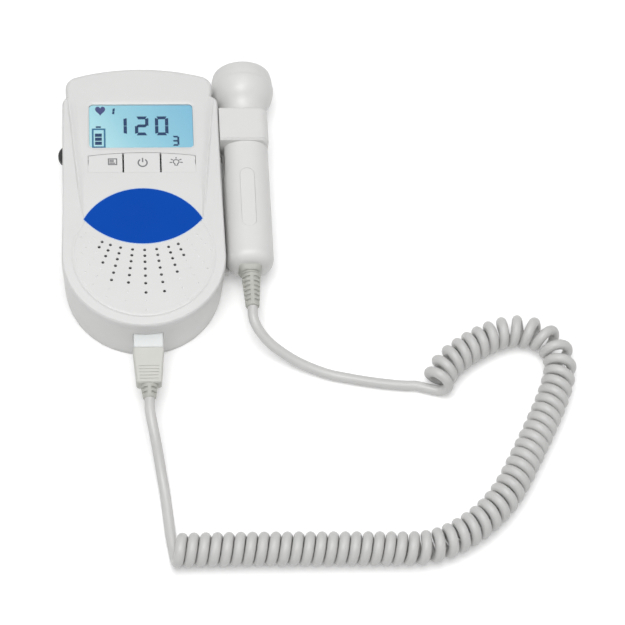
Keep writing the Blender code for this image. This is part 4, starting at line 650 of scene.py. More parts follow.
# Curly cord and its two straight runs, on the solids' route from the unit's lower end
COIL_ROUTE = (
    (0.0104, -0.0975), (0.0250, -0.0975), (0.0450, -0.0977), (0.0650, -0.0981),
    (0.0850, -0.0985), (0.1030, -0.0989), (0.1150, -0.0992), (0.1230, -0.0980),
    (0.1310, -0.0945), (0.1405, -0.0889), (0.1495, -0.0811), (0.1570, -0.0717),
    (0.1652, -0.0573), (0.1730, -0.0430), (0.1795, -0.0300), (0.1842, -0.0185),
    (0.1860, -0.0095), (0.1832, -0.0011), (0.1765, 0.0041), (0.1670, 0.0059),
    (0.1570, 0.0035), (0.1470, -0.0017), (0.1380, -0.0077), (0.1318, -0.0137),
    (0.1286, -0.0210),
)
PLUG_RUN_ROUTE = (
    (0.0016, -0.0375, 0.0147), (0.0027, -0.0435, 0.0131), (0.0037, -0.0485, 0.0108),
    (0.0048, -0.0545, 0.0076), (0.0059, -0.0610, 0.0048), (0.0070, -0.0680, 0.0030),
    (0.0079, -0.0765, 0.0024), (0.0087, -0.0845, 0.0024),
)
PROBE_RUN_ROUTE = (
    (0.0486, 0.0085, 0.0143), (0.0510, 0.0045, 0.0122), (0.0552, 0.0003, 0.0096),
    (0.0608, -0.0033, 0.0070), (0.0674, -0.0069, 0.0049), (0.0742, -0.0097, 0.0034),
    (0.0820, -0.0124, 0.0025), (0.0909, -0.0145, 0.0024), (0.0997, -0.0163, 0.0024),
    (0.1086, -0.0177, 0.0024), (0.1160, -0.0185, 0.0024),
)
COIL_SIDES, RUN_SIDES = 14, 20
STEPS_PER_TURN = 22
SMOOTHING_ROUNDS = 120
BEND_SPAN = 8
BEND_ROOM = 1.1
RUN_SPACING = 0.0022
RUN_INSIDE_BOOT = 0.0012
CAP_EDGE_DEG = 60


def spline_points(route, spacing):
    """Smooth curve through the route's points, with points an even spacing apart."""
    nodes = [Vector(p) for p in route]
    nodes = [nodes[0] * 2 - nodes[1]] + nodes + [nodes[-1] * 2 - nodes[-2]]
    fine = []
    for a, b, c, d in zip(nodes, nodes[1:], nodes[2:], nodes[3:]):
        for i in range(24):
            t = i / 24
            fine.append(((b * 2) + (c - a) * t + (a * 2 - b * 5 + c * 4 - d) * t ** 2
                         + (b * 3 - a - c * 3 + d) * t ** 3) / 2)
    fine.append(nodes[-2])
    lengths = [0.0]
    for a, b in zip(fine, fine[1:]):
        lengths.append(lengths[-1] + (b - a).length)
    count = max(2, round(lengths[-1] / spacing))
    points = []
    index = 0
    for i in range(count + 1):
        want = lengths[-1] * i / count
        while index < len(fine) - 2 and lengths[index + 1] < want:
            index += 1
        gap = lengths[index + 1] - lengths[index]
        points.append(fine[index].lerp(fine[index + 1], (want - lengths[index]) / gap))
    return points


def curl_points():
    """Helix about the coil's route; where the route bends, its turns stand further apart."""
    axis = spline_points([(x, y + LOWER_END_Y, COIL_AXIS_Z) for x, y in COIL_ROUTE], CURL_PITCH / 8)
    for _ in range(SMOOTHING_ROUNDS):
        inner = [(a + b * 2 + c) / 4 for a, b, c in zip(axis, axis[1:], axis[2:])]
        axis = [axis[0]] + inner + [axis[-1]]
    last_one = len(axis) - 1
    tangents = [(axis[min(i + 1, last_one)] - axis[max(i - 1, 0)]).normalized() for i in range(len(axis))]
    step = (axis[1] - axis[0]).length
    phases = [0.0]
    for i in range(last_one):
        first, last = max(i - BEND_SPAN, 0), min(i + BEND_SPAN, last_one)
        bend = tangents[first].angle(tangents[last]) / (step * (last - first))
        pitch = CURL_PITCH / (1 - BEND_ROOM * CURL_MEAN_RADIUS * bend)
        phases.append(phases[-1] + math.tau * (axis[i + 1] - axis[i]).length / pitch)
    turns = math.floor(phases[-1] / math.tau)
    phases = [p * turns * math.tau / phases[-1] for p in phases]
    points = []
    index = 0
    for k in range(turns * STEPS_PER_TURN + 1):
        phase = math.tau * k / STEPS_PER_TURN
        while index < len(phases) - 2 and phases[index + 1] < phase:
            index += 1
        share = (phase - phases[index]) / (phases[index + 1] - phases[index])
        place = axis[index].lerp(axis[index + 1], share)
        ahead = tangents[index].lerp(tangents[index + 1], share).normalized()
        side = Vector((ahead.y, -ahead.x, 0.0))
        offset = side * math.sin(phase) - Vector((0.0, 0.0, 1.0)) * math.cos(phase)
        points.append(place + offset * CURL_MEAN_RADIUS)
    slope = CURL_PITCH / (math.tau * CURL_MEAN_RADIUS)
    ends = []
    for end, sign in ((0, -1), (-1, 1)):
        ahead = tangents[end]
        way = (Vector((ahead.y, -ahead.x, 0.0)) + ahead * slope).normalized() * sign
        ends.append(points[end] + way * CORD_RADIUS * 2)
    return [ends[0]] + points + [ends[1]]


def tube_mesh(points, radius, sides):
    """Round tube along points, its rings carried along without twist, ends capped."""
    normal = Vector((0.0, 0.0, 1.0))
    rings = []
    for i, place in enumerate(points):
        ahead = (points[min(i + 1, len(points) - 1)] - points[max(i - 1, 0)]).normalized()
        normal = (normal - ahead * normal.dot(ahead)).normalized()
        other = ahead.cross(normal)
        rings.append([place + (normal * math.cos(math.tau * k / sides)
                               + other * math.sin(math.tau * k / sides)) * radius
                      for k in range(sides)])
    return to_mesh(loft(rings), "tube")


def run_points(start, route, last, inner):
    """From a boot's end along the route into the coil's end, in line with both."""
    down = Vector((0.0, -1.0, 0.0))
    before = last + (last - inner).normalized() * CORD_RADIUS * 2
    way = [Vector((x, y + LOWER_END_Y, z)) for x, y, z in route]
    knots = [start + down * CORD_RADIUS * 2] + way + [before, last]
    return [start - down * RUN_INSIDE_BOOT, start] + spline_points(knots, RUN_SPACING)


def jacket(name, points, sides, body=None):
    piece = add_piece(name + "_visual", tube_mesh(points, CORD_RADIUS, sides), CORD_GREY, body, 0)
    piece.data.shade_smooth()
    piece.data.set_sharp_from_angle(angle=math.radians(CAP_EDGE_DEG))
    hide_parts(name)
    return piece


coil = curl_points()
plug_points = run_points(Vector((PLUG_X, PLUG_CORD_Y, PLUG_Z)), PLUG_RUN_ROUTE, coil[0], coil[1])
probe_points = run_points(Vector((PROBE_X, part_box("probe_boot")[0][1], PROBE_Z)), PROBE_RUN_ROUTE,
                          coil[-1], coil[-2])
coil_piece = jacket("cord_coil", coil, COIL_SIDES, "unit")
plug_run = jacket("cord_plug_run", plug_points, RUN_SIDES)
probe_run = jacket("cord_probe_run", probe_points, RUN_SIDES)
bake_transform(plug_run)
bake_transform(probe_run)


# Keys' plan, shared by the key caps and the opening in the front shell
KEY_EDGE_RISE, KEY_CROWN = 0.0091, 0.0017
KEY_FADE_START_SHARE, KEY_FADE_SHARE = 0.42, 0.16


def key_top_y(x):
    return KEY_HINGE_Y + KEY_EDGE_RISE + KEY_CROWN * (1 - (x / KEY_HALF_SPAN) ** 2)


def key_outline(left, right, low, top_trim, open_gap=0.0):
    """Key's plan; an outer side keeps clear of the shell by open_gap only along its upper half."""
    def pulled(x, share=1.0):
        outer = abs(x) > KEY_HALF_SPAN - OVERRUN
        return x - math.copysign(open_gap * share, x) if outer else x

    def side(x):
        rise = key_top_y(x) - top_trim - low
        return [(pulled(x, capped((i / 12 - KEY_FADE_START_SHARE) / KEY_FADE_SHARE)), low + rise * i / 12)
                for i in range(1, 12)]

    start, end = pulled(right), pulled(left)
    top = [start + (end - start) * i / 16 for i in range(17)]
    return ([(left, low), (right, low)] + side(right) + [(x, key_top_y(x) - top_trim) for x in top]
            + side(left)[::-1])


# Front shell
WINDOW_MARGIN, WINDOW_CORNER = 0.00022, 0.0018
FLARE, FLARE_CORNER = 0.0015, 0.0035
PAD_HALF_WIDTH, PAD_LOW_Y, PAD_HIGH_Y, PAD_CORNER = 0.0250, -0.0530, -0.0245, 0.0060
# After PAD_WALL, the gap and depth of the black sheet of painted shade under the grille holes
PAD_WALL, SHADE_SHEET_GAP, SHADE_SHEET_LOW = 0.0009, 0.0002, 0.0012
HOLE_RADIUS, HOLE_MOUTH_RADIUS = 0.00064, 0.00072
DIMPLE_RADIUS, DIMPLE_MOUTH_RADIUS, DIMPLE_DEPTH = 0.00030, 0.00062, 0.00022
LABEL_GAP, LABEL_RECESS = 0.00004, 0.0006


def rounded_levels(radius, steps):
    """Insets and drops of a quarter round, from the flank over to the flat."""
    turns = [math.radians(90 * i / steps) for i in range(steps + 1)]
    return [(radius * (1 - math.cos(a)), radius * (1 - math.sin(a))) for a in turns]


def grille_pad(inset):
    return rounded_rectangle(PAD_HALF_WIDTH - inset, PAD_LOW_Y + inset, PAD_HIGH_Y - inset,
                             PAD_CORNER - inset)


def window_cutter():
    window, flare = (
        rounded_rectangle(WINDOW_HALF_WIDTH + grow, WINDOW_BOTTOM_Y - grow, WINDOW_TOP_Y + grow, corner, 8)
        for grow, corner in ((-WINDOW_MARGIN, WINDOW_CORNER), (FLARE, FLARE_CORNER)))
    levels = ((window, INNER_FACE_Z - OVERRUN), (window, LENS_TOP_Z), (flare, FACE_Z + 0.00002))
    return loft([[(x, y, z) for x, y in outline] for outline, z in levels])


def front_shell():
    base = PARTING_Z - 0.0002
    inside, outside = INNER_FACE_Z - OVERRUN, FACE_Z + OVERRUN
    levels = [(0.0, base)] + [(inset, FACE_Z - drop) for inset, drop in rounded_levels(FACE_ROUND, 8)]
    steps = [
        (CUT, prism_bm(unit_outline(SHELL_WALL, DOCK_RELIEF), base - OVERRUN, INNER_FACE_Z)),
        (CUT, band_cutter()),
        (CUT, crease_cutter()),
        (CUT, groove_cutter()),
        (CUT, window_cutter()),
        (CUT, prism_bm(key_outline(-KEY_HALF_SPAN, KEY_HALF_SPAN, KEY_HINGE_Y, 0.0), inside, outside)),
        (CUT, prism_bm(label_outline(-LABEL_GAP), FACE_Z - LABEL_RECESS, outside)),
        (CUT, prism_bm(grille_pad(0.0), inside, FACE_Z - PAD_WALL)),
        (CUT, cones_bm(hole_places(False), inside, FACE_Z + 0.0004, HOLE_RADIUS, HOLE_MOUTH_RADIUS, 14)),
        (CUT, cones_bm(hole_places(True), FACE_Z - DIMPLE_DEPTH, FACE_Z + 0.0003, DIMPLE_RADIUS,
                       DIMPLE_MOUTH_RADIUS, 12)),
    ]
    shell = layers(lambda inset: unit_outline(inset, DOCK_RELIEF), levels)
    piece = add_piece("front_panel", combined(shell, steps, 0.00010, 2, 28.0), CASE, "unit", 26.0)
    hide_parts("front_shell")
    # Black sheet just under the grille holes: painted shade that makes the holes look dark.
    shade_sheet = prism_bm(grille_pad(SHADE_SHEET_GAP), FACE_Z - SHADE_SHEET_LOW, FACE_Z - PAD_WALL - 0.00002)
    add_piece("grille_hole_shade_sheet", to_mesh(shade_sheet, "shade_sheet"), INNER_BLACK, "unit")


# Back shell, its bay, rail and screw holes, and the battery door
FOOT_ROUND = 0.0013
RELIEF_LEDGE_Z = 0.0138
LEAN_START_Y, LEAN_RUN, LEAN_SHARE = -0.010, 0.030, 0.032
FLOOR_TOP_Z = 0.0030
BAY_HALF_WIDTH, BAY_LOW_Y, BAY_HIGH_Y, BAY_TOP_Z = 0.0289, -0.0406, -0.0062, 0.0168
BAY_WALL = 0.0012
OPENING_HALF_WIDTH, OPENING_HALF_HEIGHT, OPENING_DEPTH = 0.00662, 0.00432, 0.0045
WHEEL_SLOT_X, WHEEL_SLOT_HALF, WHEEL_SLOT_LOW_Z = (-0.0378, -0.0338), 0.0057, 0.0197
RAIL_NECK_X = (0.0350, 0.0385)
DOCK_FLANGE = ((0.0345, -0.0300, 0.0052), (0.0386, 0.0290, 0.0086))
SCREW_CIRCLE, SCREW_TURN_DEG = 0.0303, -42.0
SCREW_TOP_X, SCREW_TOP_Y = 0.0275, 0.0550
SCREW_HOLE_RADIUS, SCREW_HOLE_TOP_Z = 0.0027, 0.0043
DOOR_HALF_WIDTH, DOOR_TOP_Y, DOOR_CORNER = 0.0302, -0.0049, 0.0015
DOOR_GAP, DOOR_SEAT_Z, DOOR_TOP_Z = 0.0003, 0.0018, 0.0015
GRIP_COUNT, GRIP_START, GRIP_PITCH, GRIP_WIDTH, GRIP_DEPTH = 9, 0.0105, 0.0014, 0.0007, 0.00035
GRIP_HALF, GRIP_HALF_STEP = 0.0090, 0.0003
ARROW = ((-0.0030, -0.0410), (0.0030, -0.0410), (0.0, -0.0442))


def drawn_in(points, z):
    """The lower end's flanks lean in towards the base."""
    out = []
    for x, y in points:
        lean = LEAN_SHARE * eased(capped((LEAN_START_Y - y) / LEAN_RUN)) * (1 - z / PARTING_Z)
        out.append((x * (1 - lean), y))
    return out


def door_outline(margin, overrun):
    half = DOOR_HALF_WIDTH + margin
    radius = UNIT_HALF_WIDTH + overrun
    lean = math.degrees(math.acos(half / radius))
    points = arc((0.0, FOOT_CENTRE_Y), radius, lean - 180, -lean, 40)
    corner_x, corner_y = half - DOOR_CORNER, DOOR_TOP_Y + margin - DOOR_CORNER
    points += arc((corner_x, corner_y), DOOR_CORNER, 0, 90, 6)
    points += arc((-corner_x, corner_y), DOOR_CORNER, 90, 180, 6)
    return drawn_in(points, 0.0)


def screw_places():
    x = SCREW_CIRCLE * math.cos(math.radians(SCREW_TURN_DEG))
    y = FOOT_CENTRE_Y + SCREW_CIRCLE * math.sin(math.radians(SCREW_TURN_DEG))
    return (-SCREW_TOP_X, SCREW_TOP_Y), (SCREW_TOP_X, SCREW_TOP_Y), (-x, y), (x, y)


def bay_box(wall, low_z):
    return box_bm((-BAY_HALF_WIDTH - wall, BAY_LOW_Y - wall, low_z),
                  (BAY_HALF_WIDTH + wall, BAY_HIGH_Y + wall, BAY_TOP_Z + wall))


def rail_box(x_range, half, gap=0.0, travel=0.0):
    """Length of rail between two x, or with gap and travel the slot that slides on it."""
    return box_bm((x_range[0], RAIL_LOW_Y - travel - gap, PROBE_Z - half - gap),
                  (x_range[1], RAIL_HIGH_Y + gap, PROBE_Z + half + gap))


def back_shell():
    top = PARTING_Z - 0.0003
    levels = [(inset, z, 0.0) for inset, z in reversed(rounded_levels(FOOT_ROUND, 5))]
    levels += [(0.0, RELIEF_LEDGE_Z, 0.0), (0.0, RELIEF_LEDGE_Z + 0.0002, DOCK_RELIEF),
               (0.0, top, DOCK_RELIEF)]
    wheel_left, wheel_right = WHEEL_SLOT_X
    steps = [
        (CUT, prism_bm(unit_outline(SHELL_WALL), FLOOR_TOP_Z, top + OVERRUN)),
        (JOIN, bay_box(BAY_WALL, FLOOR_TOP_Z - 0.0004)),
        (CUT, bay_box(0.0, -OVERRUN)),
        (CUT, prism_bm(door_outline(DOOR_GAP, OVERRUN), -OVERRUN, DOOR_SEAT_Z)),
        (CUT, box_bm((PLUG_X - OPENING_HALF_WIDTH, LOWER_END_Y - OVERRUN, PLUG_Z - OPENING_HALF_HEIGHT),
                     (PLUG_X + OPENING_HALF_WIDTH, LOWER_END_Y + OPENING_DEPTH,
                      PLUG_Z + OPENING_HALF_HEIGHT))),
        (CUT, box_bm((wheel_left, WHEEL_Y - WHEEL_SLOT_HALF, WHEEL_SLOT_LOW_Z),
                     (wheel_right, WHEEL_Y + WHEEL_SLOT_HALF, top + OVERRUN))),
        (JOIN, rail_box(RAIL_NECK_X, RAIL_NECK_HALF)),
        (JOIN, rail_box(RAIL_FLANGE_X, RAIL_FLANGE_HALF)),
        (JOIN, box_bm(*DOCK_FLANGE)),
    ]
    steps += [(CUT, cones_bm([place], -OVERRUN, SCREW_HOLE_TOP_Z, SCREW_HOLE_RADIUS, SCREW_HOLE_RADIUS, 32))
              for place in screw_places()]
    shell = loft([[(x, y, z) for x, y in drawn_in(unit_outline(inset, relief), z)]
                  for inset, z, relief in levels])
    piece = add_piece("rear_housing", combined(shell, steps, 0.00015, 2, 40.0), CASE_LOWER, "unit")
    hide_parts("back_shell")


def battery_door():
    levels = ((0.0004, 0.0), (0.00012, 0.00012), (0.0, 0.0004), (0.0, DOOR_TOP_Z))
    steps = []
    for index in range(GRIP_COUNT):
        y = LOWER_END_Y + GRIP_START + GRIP_PITCH * index
        half = GRIP_HALF - GRIP_HALF_STEP * index
        steps.append((CUT, box_bm((-half, y, -OVERRUN), (half, y + GRIP_WIDTH, GRIP_DEPTH))))
    steps.append((CUT, prism_bm(ARROW, -OVERRUN, 0.0003)))
    panel = combined(layers(lambda inset: door_outline(-inset, -inset), levels), steps, 0.00008, 2, 40.0)
    piece = add_piece("battery_door_panel", panel, CASE_LOWER, "door")
    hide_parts("battery_door")


front_shell()
back_shell()
battery_door()


# Label: a pale rim with the blue field inside it
def label():
    outer = layers(label_outline, ((0.0, FACE_Z - 0.00045), (0.0, FACE_Z + 0.00001),
                                   (0.00005, FACE_Z + 0.00004)))
    rim = add_piece("label_rim", to_mesh(outer, "rim"), LABEL_EDGE, "unit")
    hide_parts("label_plate")
    inner = layers(label_outline, ((0.00026, FACE_Z - 0.0002), (0.00026, FACE_Z + 0.00005),
                                   (0.00034, FACE_Z + 0.00009)))
    add_piece("label_field", to_mesh(inner, "field"), LABEL, "unit")


label()


# Flat prints: outlines of symbols and digits, each about its own centre
def strip(points, width):
    """Flat band of one width along points, as an outline."""
    left, right = [], []
    for i, (x, y) in enumerate(points):
        (ax, ay), (bx, by) = points[max(i - 1, 0)], points[min(i + 1, len(points) - 1)]
        length = math.hypot(bx - ax, by - ay)
        nx, ny = -(by - ay) / length * width / 2, (bx - ax) / length * width / 2
        left.append((x + nx, y + ny))
        right.append((x - nx, y - ny))
    return right + left[::-1]


def rect(x0, y0, x1, y1):
    return [(x0, y0), (x1, y0), (x1, y1), (x0, y1)]


def frame_rects(x0, y0, x1, y1, line):
    """Four bars that frame a rectangle."""
    return [rect(x0, y0, x1, y0 + line), rect(x0, y1 - line, x1, y1),
            rect(x0, y0 + line, x0 + line, y1 - line), rect(x1 - line, y0 + line, x1, y1 - line)]


def add_print(name, outlines, low, high, mat, body):
    add_piece(name, to_mesh(merged(prism_bm(o, low, high) for o in outlines), "print"), mat, body, 0)


def mode_symbol():
    """Small screen with three lines of text."""
    half_width, half_height, line, row_gap, half_row = 0.0021, 0.0018, 0.00050, 0.0008, 0.00027
    rows = [(row_gap * (i - 1), 0.0006 if i else 0.0012) for i in range(3)]
    return (frame_rects(-half_width, -half_height, half_width, half_height, line)
            + [rect(-0.0014, y - half_row, end, y + half_row) for y, end in rows])


def power_symbol():
    return [strip(arc((0.0, 0.0), 0.0020, 124, 416, 30), 0.00064), rect(-0.00030, 0.0003, 0.00030, 0.0026)]


def light_symbol():
    """Lamp bulb with five rays."""
    line = 0.00052
    half_bulb = [(-0.00055, -0.0019), (-0.0006, -0.0011), (-0.0013, -0.0002), (-0.0011, 0.0009),
                 (-0.0002, 0.0013)]
    other = [(-x, y) for x, y in reversed(half_bulb)]
    out = [strip(half_bulb + other[1:], line), rect(-0.0003, -0.0021, 0.0003, -0.0017)]
    start, end_x, end_y = 0.0018, 0.0030, 0.0026
    for angle in (-6, 36, 90, 144, 186):
        c, s = math.cos(math.radians(angle)), math.sin(math.radians(angle))
        out.append(strip([(start * c, start * s), (end_x * c, end_y * s)], line))
    return out


# Keys with their printed symbols
KEY_GAP, KEY_TOP_GAP = 0.00004, 0.00012
KEY_SPLIT_X, KEY_HALF_SLIT = 0.0085, 0.00032
PRINT_LOW_Z, PRINT_HIGH_Z = FACE_Z - 0.00005, FACE_Z + 0.00003


def keys():
    outer, inner = KEY_HALF_SPAN - KEY_GAP, KEY_SPLIT_X + KEY_HALF_SLIT
    middle = KEY_SPLIT_X - KEY_HALF_SLIT
    levels = ((0.0, KEY_LOW_Z), (0.0, FACE_Z - 0.00030), (0.00010, FACE_Z - 0.00010), (0.00030, FACE_Z))
    for name, left, right, symbol, at_x, at_y in (
            ("mode", -outer, -inner, mode_symbol, -0.0133, 0.0171),
            ("power", -middle, middle, power_symbol, 0.0003, 0.0165),
            ("light", inner, outer, light_symbol, 0.0155, 0.0168)):
        def plan(inset):
            return key_outline(left + (inset if name != "mode" else 0.0),
                               right - (inset if name != "light" else 0.0),
                               KEY_HINGE_Y + KEY_GAP, KEY_TOP_GAP + inset, KEY_TOP_GAP + inset)

        cap = to_mesh(layers(plan, levels), "key")
        key = add_piece(f"{name}_key_cap", cap, KEY_WHITE, f"{name}_key", 40.0)
        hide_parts(f"key_{name}")
        outlines = [[(at_x + x, at_y + y) for x, y in outline] for outline in symbol()]
        add_print(f"{name}_key_print", outlines, PRINT_LOW_Z, PRINT_HIGH_Z, PRINT_GREY, f"{name}_key")


keys()


# Display contents, on the panel under the clear cover
INK_LOW_Z, INK_HIGH_Z = PANEL_Z - 0.00010, PANEL_Z + 0.00012
BIG_DIGITS = ((-0.0130, -0.0065, "bc"), (-0.0028, 0.0034, "abged"), (0.0064, 0.0125, "abcdef"))
BIG_DIGIT_Y = (0.0324, 0.0427)
LOW_DIGIT_BOX, HIGH_DIGIT_BOX = (0.0140, 0.0173, 0.0266, 0.0320), (-0.0144, -0.0120, 0.0434, 0.0479)
HIGH_DIGIT_MID_Y, HIGH_DIGIT_SLANT = 0.0458, 0.0005 / 0.0044
CHARGE_X, CHARGE_ROWS_Y = (-0.0211, -0.0180), ((0.0317, 0.0334), (0.0295, 0.0312), (0.0273, 0.0290))
BATTERY_CAP = (-0.0207, 0.0366, -0.0184, 0.0374)
BATTERY_FRAME, BATTERY_LINE = (-0.0225, 0.0256, -0.0163, 0.0362), 0.0008
HEART_X, HEART_Y, HEART_HALF, HEART_HEIGHT = -0.0186, 0.0457, 0.0023, 0.0050


def seven_segments(x0, x1, y0, y1, lit, thick):
    """Outlines of the lit segments of a digit that fills the given box."""
    mid = (y0 + y1) / 2
    gap, corner = thick * 0.10, thick * 0.5
    flat = thick + gap * 0.5

    def upright(x, inner_x, low, high, low_corner, high_corner):
        return [(x, low + low_corner), (inner_x, low + (thick if low_corner else 0.0) * 0.75),
                (inner_x, high - (thick if high_corner else 0.0) * 0.75), (x, high - high_corner)]

    shapes = {
        "a": [(x0 + corner, y1), (x1 - corner, y1), (x1 - flat, y1 - thick), (x0 + flat, y1 - thick)],
        "d": [(x0 + corner, y0), (x0 + flat, y0 + thick), (x1 - flat, y0 + thick), (x1 - corner, y0)],
        "g": [(x0 + corner, mid), (x0 + thick, mid + corner), (x1 - thick, mid + corner),
              (x1 - corner, mid), (x1 - thick, mid - corner), (x0 + thick, mid - corner)],
        "f": upright(x0, x0 + thick, mid + gap, y1 - gap, 0.0, corner),
        "e": upright(x0, x0 + thick, y0 + gap, mid - gap, corner, 0.0),
        "b": upright(x1, x1 - thick, mid + gap, y1 - gap, 0.0, corner),
        "c": upright(x1, x1 - thick, y0 + gap, mid - gap, corner, 0.0),
    }
    return [shapes[k] for k in lit]


def heart_outline(x, y, half, height):
    points = []
    for i in range(48):
        t = math.tau * i / 48
        px = 16 * math.sin(t) ** 3
        py = 13 * math.cos(t) - 5 * math.cos(2 * t) - 2 * math.cos(3 * t) - math.cos(4 * t)
        points.append((x + px / 16 * half, y + (py + 2.5) / 29 * height))
    return points


def display():
    digits = []
    for x0, x1, lit in BIG_DIGITS:
        digits += seven_segments(x0, x1, *BIG_DIGIT_Y, lit, 0.0015)
    digits += seven_segments(*LOW_DIGIT_BOX, "abcdg", 0.00085)
    digits += [[(x + (y - HIGH_DIGIT_MID_Y) * HIGH_DIGIT_SLANT, y) for x, y in shape]
               for shape in seven_segments(*HIGH_DIGIT_BOX, "bc", 0.0010)]
    digits += [rect(CHARGE_X[0], y0, CHARGE_X[1], y1) for y0, y1 in CHARGE_ROWS_Y]
    digits.append(rect(*BATTERY_CAP))
    heart = [heart_outline(HEART_X, HEART_Y, HEART_HALF, HEART_HEIGHT)]
    for name, outlines, ink in (("segments", digits, INK), ("heart", heart, INK_HEART),
                                ("battery", frame_rects(*BATTERY_FRAME, BATTERY_LINE), INK_SOFT)):
        add_print("display_" + name, outlines, INK_LOW_Z, INK_HIGH_Z, ink, "unit")


display()


# Volume wheel
WHEEL_TEETH, WHEEL_TOOTH_DEPTH = 36, 0.00025
WHEEL_LEVELS = ((0.0004, 0.0202), (0.0, 0.0206), (0.0, 0.0228), (0.0004, 0.0232))


def wheel_outline(inset):
    points = []
    for i in range(WHEEL_TEETH * 4):
        angle = math.tau * i / (WHEEL_TEETH * 4)
        depth = WHEEL_TOOTH_DEPTH * (1 - abs(math.cos(angle * WHEEL_TEETH / 2)) ** 0.7)
        radius = WHEEL_RADIUS - inset - depth
        points.append((WHEEL_X + radius * math.cos(angle), WHEEL_Y + radius * math.sin(angle)))
    return points


def volume_wheel():
    wheel = to_mesh(layers(wheel_outline, WHEEL_LEVELS), "wheel")
    piece = add_piece("volume_thumbwheel", wheel, WHEEL_BLACK, "wheel", 35.0)
    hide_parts("volume_wheel")


volume_wheel()


# Probe: block on the rail with the handle below it, plate, head and acoustic window
BLOCK_LEFT_X, BLOCK_CORNER, BLOCK_BEVEL = 0.0371, 0.0045, 0.0010
LIP_X, LIP_LOW_Z, LIP_BEVEL = 0.0359, 0.0181, 0.0003
SLOT_NECK_END_X = 0.0382
HANDLE_IN_BLOCK, HANDLE_END_ROUND = 0.0040, 0.0052
PLATE_HALF_WIDTH, PLATE_LOW_Y, PLATE_HIGH_Y, PLATE_CORNER = 0.0033, -0.0158, 0.0150, 0.0032
PLATE_X_OFFSET, PLATE_GAP, PLATE_SINK = -0.0003, 0.00006, 0.00003
POCKET_CORNER, POCKET_Z = 0.0033, (PROBE_Z + 0.0098, PROBE_Z + 0.0117)
HEAD_FACE_Y = 0.0734
HEAD_RADIUS = 0.0147
CROWN_RADIUS, CROWN_WIDTH, CROWN_DROP, CROWN_HEIGHT = 0.0112, 0.0025, 0.0024, 0.0022
CROWN_SIDE = ((0.0141, 0.0694), (0.01432, 0.0676), (0.01438, 0.0660), (0.01440, 0.0654))
HEAD_FOOT_Y = BLOCK_TOP_Y + 0.0001
BELT_AND_BOWL = ((0.01464, 0.0650), (HEAD_RADIUS, 0.0645), (0.0146, 0.0626), (0.0142, 0.0603),
                 (0.0136, 0.0583), (0.0127, 0.0565), (0.0110, 0.0541), (0.0100, 0.0523),
                 (0.0094, 0.0503), (0.0092, HEAD_FOOT_Y))
LENS_PROFILE = ((0.0, 0.0), (0.0078, 0.0), (0.0094, 0.0003), (0.0097, 0.0008), (0.0097, 0.0013),
                (0.0, 0.0013))
LENS_SEAT_PROFILE = ((0.0, 0.0014), (0.0098, 0.0014), (0.0098, 0.0002), (0.0100, 0.0), (0.0106, 0.0),
                     (0.0111, 0.00015))


def on_probe(bm):
    return moved(bm, PROBE_X, 0.0, PROBE_Z)


def block_section(pull):
    """Block's section in X and Z, its lip reaching over the unit at the upper left."""
    far, half = PROBE_X + HANDLE_RADIUS - pull - BLOCK_CORNER, BLOCK_HALF_HEIGHT - pull
    top = PROBE_Z + half
    points = [(BLOCK_LEFT_X, PROBE_Z - half)]
    points += arc((far, PROBE_Z - half + BLOCK_CORNER), BLOCK_CORNER, -90, 0, 14)
    points += arc((far, top - BLOCK_CORNER), BLOCK_CORNER, 0, 90, 14)
    return points + [(LIP_X + LIP_BEVEL, top), (LIP_X, top - LIP_BEVEL), (LIP_X, LIP_LOW_Z),
                     (BLOCK_LEFT_X, LIP_LOW_Z)]


def plate_outline(grow, corner, steps, x=PLATE_X_OFFSET):
    return rounded_rectangle(PLATE_HALF_WIDTH + grow, PLATE_LOW_Y - grow, PLATE_HIGH_Y + grow, corner,
                             steps, x)


def handle_mesh():
    block = loft([[(x, y, z) for x, z in block_section(pull)]
                  for pull, y in ((BLOCK_BEVEL, BLOCK_LOW_Y), (0.0, BLOCK_LOW_Y + BLOCK_BEVEL),
                                  (0.0, BLOCK_TOP_Y - BLOCK_BEVEL), (BLOCK_BEVEL, BLOCK_TOP_Y))])
    start = BLOCK_LOW_Y + HANDLE_IN_BLOCK
    profile = [(0.0, start), (HANDLE_RADIUS, start)]
    profile += arc((HANDLE_RADIUS - HANDLE_END_ROUND, HANDLE_END_Y + HANDLE_END_ROUND), HANDLE_END_ROUND,
                   0, -90, 16)
    profile.append((0.0, HANDLE_END_Y))
    pocket = plate_outline(PLATE_GAP, POCKET_CORNER, 8, PROBE_X + PLATE_X_OFFSET)
    flange_slot = (RAIL_FLANGE_X[0] - RAIL_GAP, RAIL_FLANGE_X[1] + RAIL_GAP)
    steps = [
        (JOIN, on_probe(squared(revolve(profile, 128), HANDLE_POWER))),
        (CUT, rail_box((BLOCK_LEFT_X - OVERRUN, SLOT_NECK_END_X), RAIL_NECK_HALF, RAIL_GAP, DOCK_TRAVEL)),
        (CUT, rail_box(flange_slot, RAIL_FLANGE_HALF, RAIL_GAP, DOCK_TRAVEL)),
        (CUT, prism_bm(pocket, *POCKET_Z)),
    ]
    return combined(block, steps, 0.00030, 3, 32.0)


def plate_bm():
    """Plate that follows the handle's crown, its upper edge softened."""
    rings = []
    for inset, drop in ((0.0, 0.0006), (0.0, 0.00012), (0.00012, 0.0), (0.0005, 0.0)):
        ring = []
        for x, y in plate_outline(-inset, PLATE_CORNER - inset, 10):
            crown = (HANDLE_RADIUS ** HANDLE_POWER - abs(x) ** HANDLE_POWER) ** (1 / HANDLE_POWER)
            ring.append((PROBE_X + x, y, PROBE_Z + crown - PLATE_SINK - drop))
        rings.append(ring)
    return loft(rings)


